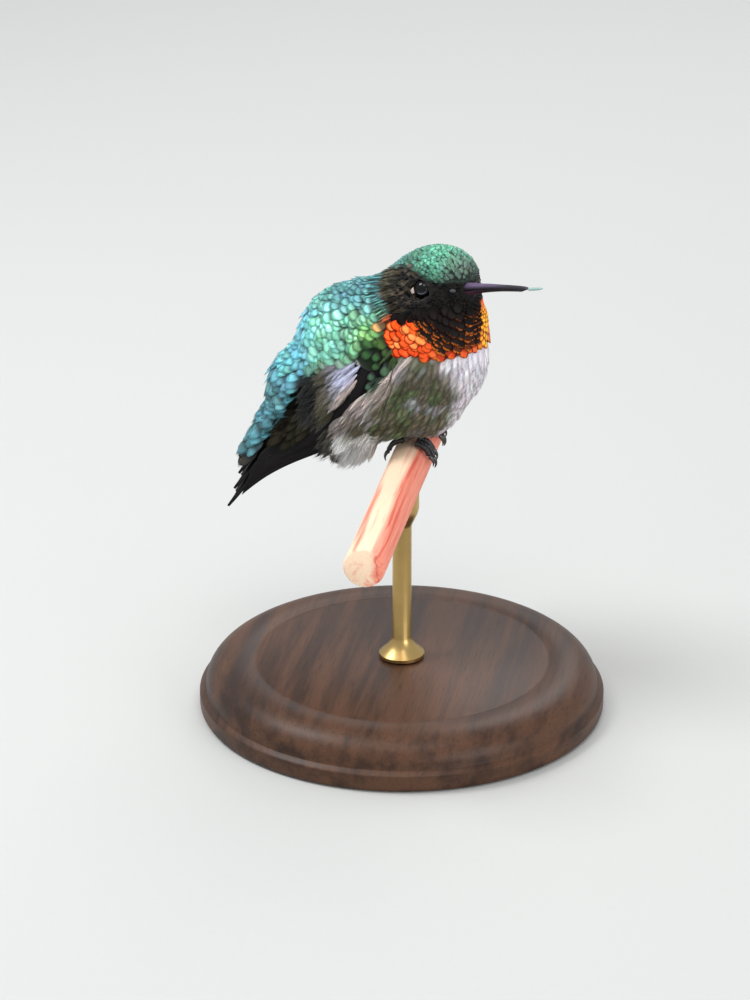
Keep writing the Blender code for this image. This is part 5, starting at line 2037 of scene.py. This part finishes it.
def walnut_finish():
    look = settings("stand")
    finish = Finish("walnut", Specular_IOR_Level=0.25, Coat_Weight=0.06, Coat_Roughness=0.3)
    warp = finish.noise(1.0, 2.0, stretch=(0.035, 0.014, 0.035))
    bands = finish.noise(1.0, 5.0, 0.6, stretch=(0.32, 0.02, 0.32))
    pores = finish.noise(1.0, 3.0, 0.7, stretch=(3.4, 0.22, 3.4))
    figure = finish.between(bands + warp * 0.5, 0.55, 0.92)
    colour = finish.mix(figure, look.walnut_dark, look.walnut)
    colour = finish.scaled(colour, finish.between(pores, 0.3, 0.5, 0.62, 1.0))
    return finish.feed(
        Base_Color=colour, Roughness=0.36 + 0.2 * bands, Normal=finish.bump(pores, 0.2, 0.08)
    )


def brass_finish():
    finish = Finish("satin_brass", Specular_IOR_Level=0.5, Metallic=1.0)
    brush = finish.noise(1.0, 4.0, stretch=(3.0, 3.0, 0.3))
    colour = finish.scaled(settings("stand").brass, 0.8 + 0.3 * finish.noise(0.25))
    return finish.feed(
        Base_Color=colour, Roughness=0.24 + 0.16 * brush, Normal=finish.bump(brush, 0.12, 0.03)
    )


def foot_profile(radius, height):
    """The foot's outline: a rounded lower edge, a step, a quarter round and a shallow groove."""
    lower = [(radius - 1 + math.sin(t), 1 - math.cos(t)) for t in np.linspace(0.2, math.pi / 2, 6)]
    upper = [
        (radius - 1.0 - 5.0 * (1 - math.cos(t)), height - 4.2 + 4.2 * math.sin(t))
        for t in np.linspace(0.1, math.pi / 2, 12)
    ]
    return [
        (0.0, 0.0), (radius - 1.0, 0.0), *lower,
        (radius, height - 5.2), (radius - 0.15, height - 5.0), (radius - 0.9, height - 4.6),
        (radius - 1.0, height - 4.2), *upper,
        (radius - 8.0, height), (radius - 8.6, height - 0.28), (radius - 9.2, height - 0.28),
        (radius - 9.8, height), (0.0, height),
    ]


def rod_profile(bottom, axis):
    """The rod's outline: a flared foot, a plain shaft and a cup under the dowel."""
    return [
        (0.0, bottom), (3.6, bottom), (3.6, bottom + 0.5), (3.3, bottom + 0.8), (2.5, bottom + 1.5),
        (1.8, bottom + 2.4), (1.5, bottom + 3.2), (1.5, axis - 7.6), (1.62, axis - 7.1),
        (2.0, axis - 6.3), (2.45, axis - 5.3), (2.65, axis - 4.4), (2.65, axis - 1.3),
        *((r, axis - 1.2) for r in (2.55, 2.2, 1.8, 1.3, 0.8, 0.0)),
    ]


def turned_piece(name, points, faces, material, sharp, slot, replaced):
    """A turned piece, given in millimetres of the frame, with edges sharper than so many degrees."""
    piece = add_mesh(name, points * MM, faces, material, in_row=True)
    piece.data.set_sharp_from_angle(angle=math.radians(sharp))
    mount(piece, slot, replaced)


class HUMMINGBIRD_OT_stand(bpy.types.Operator):
    """The turned walnut foot and the satin brass rod"""

    bl_idname = "hummingbird.stand"
    bl_label = "Stand"

    def execute(self, context):
        low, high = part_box("stand_base")
        points, faces = lathe(foot_profile((high.x - low.x) / 2 / MM, (high.z - low.z) / MM), 144)
        turned_piece("stand_foot", points, faces, walnut_finish(), 35, "stand_wood", "stand_base")

        axis = ORIGIN[2]
        points, faces = lathe(rod_profile(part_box("stand_rod")[0].z / MM, axis), 72)
        under = axis - np.sqrt(np.maximum((PERCH_RADIUS - 0.05) ** 2 - points[:, 0] ** 2, 0))
        points[:, 2] = np.minimum(points[:, 2], under)
        points = points + (*node_centre("stand_rod")[:2], 0.0)
        turned_piece("stand_pillar", points, faces, brass_finish(), 40, "stand_metal", "stand_rod")
        return {"FINISHED"}


# ---------------------------------------------------------------- stage


VIEW_MIDDLE = (-6.32, -7.58)  # millimetres to the right of and above the feet
FLOOR_WIDTH = 6.0  # metres
SKY = (0.92, 0.96, 1.0, 1.0)
SKY_STRENGTH = 0.68


def aim(obj, place, target):
    """Points a light or camera from one place at another, both in metres."""
    obj.location = place
    obj.rotation_euler = (Vector(target) - Vector(place)).to_track_quat("-Z", "Y").to_euler()


def put_camera(context):
    look = settings("stage")
    turn, raised = look.turn, look.raised
    right = np.array([math.cos(turn), math.sin(turn), 0.0])
    level = np.array([-math.sin(turn), math.cos(turn), 0.0])
    ahead = level * math.cos(raised) - (0.0, 0.0, math.sin(raised))
    aim_right, aim_up = VIEW_MIDDLE
    place = to_row(aim_right * right + aim_up * np.cross(right, ahead) - look.distance / MM * ahead)
    data = bpy.data.cameras.new("camera")
    data.lens = look.lens
    data.clip_start = 0.01
    camera = bpy.data.objects.new("camera", data)
    context.scene.collection.objects.link(camera)
    aim(camera, place, Vector(place) + Vector(ahead))
    context.scene.camera = camera


def put_lights(context):
    look = settings("stage")
    middle = to_row([-4.0, 0.0, 16.0])
    # Name, power, place from the bird's middle and width in metres, and colour.
    lights = (
        ("key_light", look.key, (0.04, -0.21, 0.45), 0.30, (1.0, 0.98, 0.95)),
        ("fill_light", look.fill, (0.40, -0.32, 0.06), 0.34, (0.95, 0.98, 1.0)),
        ("back_light", look.back, (0.05, 0.42, 0.38), 0.36, (1.0, 1.0, 1.0)),
        ("catch_light", look.catch, (-0.294, -0.05, 0.413), 0.25, (0.96, 0.98, 1.0)),
    )
    for name, power, offset, size, colour in lights:
        data = bpy.data.lights.new(name, "AREA")
        data.energy = power
        data.shape = "DISK"
        data.size = size
        data.color = colour
        lamp = bpy.data.objects.new(name, data)
        context.scene.collection.objects.link(lamp)
        aim(lamp, Vector(middle) + Vector(offset), middle)


def put_sky(context):
    world = bpy.data.worlds.new("studio")
    context.scene.world = world
    world.use_nodes = True
    sky = world.node_tree.nodes["Background"]
    sky.inputs["Color"].default_value = SKY
    sky.inputs["Strength"].default_value = SKY_STRENGTH


def put_floor():
    half = FLOOR_WIDTH / 2
    corners = np.array([(-half, -half, 0), (half, -half, 0), (half, half, 0), (-half, half, 0)])
    finish = Finish("floor_paper", Specular_IOR_Level=0.2)
    material = finish.grained(finish.noise(0.8), settings("stage").floor, (0.985, 0.03), (0.8, 0.1))
    add_mesh("floor", corners, np.array([(0, 1, 2, 3)]), material, in_row=True)


class HUMMINGBIRD_OT_stage(bpy.types.Operator):
    """Pale floor, soft lights and the camera"""

    bl_idname = "hummingbird.stage"
    bl_label = "Stage"

    def execute(self, context):
        put_camera(context)
        put_floor()
        put_lights(context)
        put_sky(context)
        context.scene.view_settings.view_transform = "Standard"
        return {"FINISHED"}


# ---------------------------------------------------------------- panel and main

PROPERTY_GROUPS = {
    "plumage": PlumageSettings,
    "flight": FlightSettings,
    "head": HeadSettings,
    "perch": PerchSettings,
    "stand": StandSettings,
    "stage": StageSettings,
}
MAKERS = (
    HUMMINGBIRD_OT_stage,
    HUMMINGBIRD_OT_stand,
    HUMMINGBIRD_OT_perch,
    HUMMINGBIRD_OT_feet,
    HUMMINGBIRD_OT_skin,
    HUMMINGBIRD_OT_wings,
    HUMMINGBIRD_OT_tail,
    HUMMINGBIRD_OT_bill,
    HUMMINGBIRD_OT_eyes,
    HUMMINGBIRD_OT_face,
    HUMMINGBIRD_OT_gorget,
    HUMMINGBIRD_OT_scales,
    HUMMINGBIRD_OT_plumes,
)


class HUMMINGBIRD_PT_panel(bpy.types.Panel):
    """Makers and settings of the hummingbird"""

    bl_idname = "HUMMINGBIRD_PT_panel"
    bl_label = "Hummingbird"
    bl_space_type = "VIEW_3D"
    bl_region_type = "UI"
    bl_category = "Hummingbird"

    def draw(self, context):
        for maker in MAKERS:
            self.layout.operator(maker.bl_idname)
        for name, group in PROPERTY_GROUPS.items():
            box = self.layout.box()
            box.label(text=name.capitalize())
            for key in group.__annotations__:
                box.prop(settings(name), key)


CLASSES = (*PROPERTY_GROUPS.values(), *MAKERS, HUMMINGBIRD_PT_panel)


def register():
    for kind in CLASSES:
        bpy.utils.register_class(kind)
    for name, group in PROPERTY_GROUPS.items():
        setattr(bpy.types.Scene, "hummingbird_" + name, PointerProperty(type=group))


def unregister():
    for name in PROPERTY_GROUPS:
        delattr(bpy.types.Scene, "hummingbird_" + name)
    for kind in reversed(CLASSES):
        bpy.utils.unregister_class(kind)


def main():
    register()
    for maker in MAKERS:
        group, name = maker.bl_idname.split(".")
        getattr(getattr(bpy.ops, group), name)()


if __name__ == "__main__":
    main()
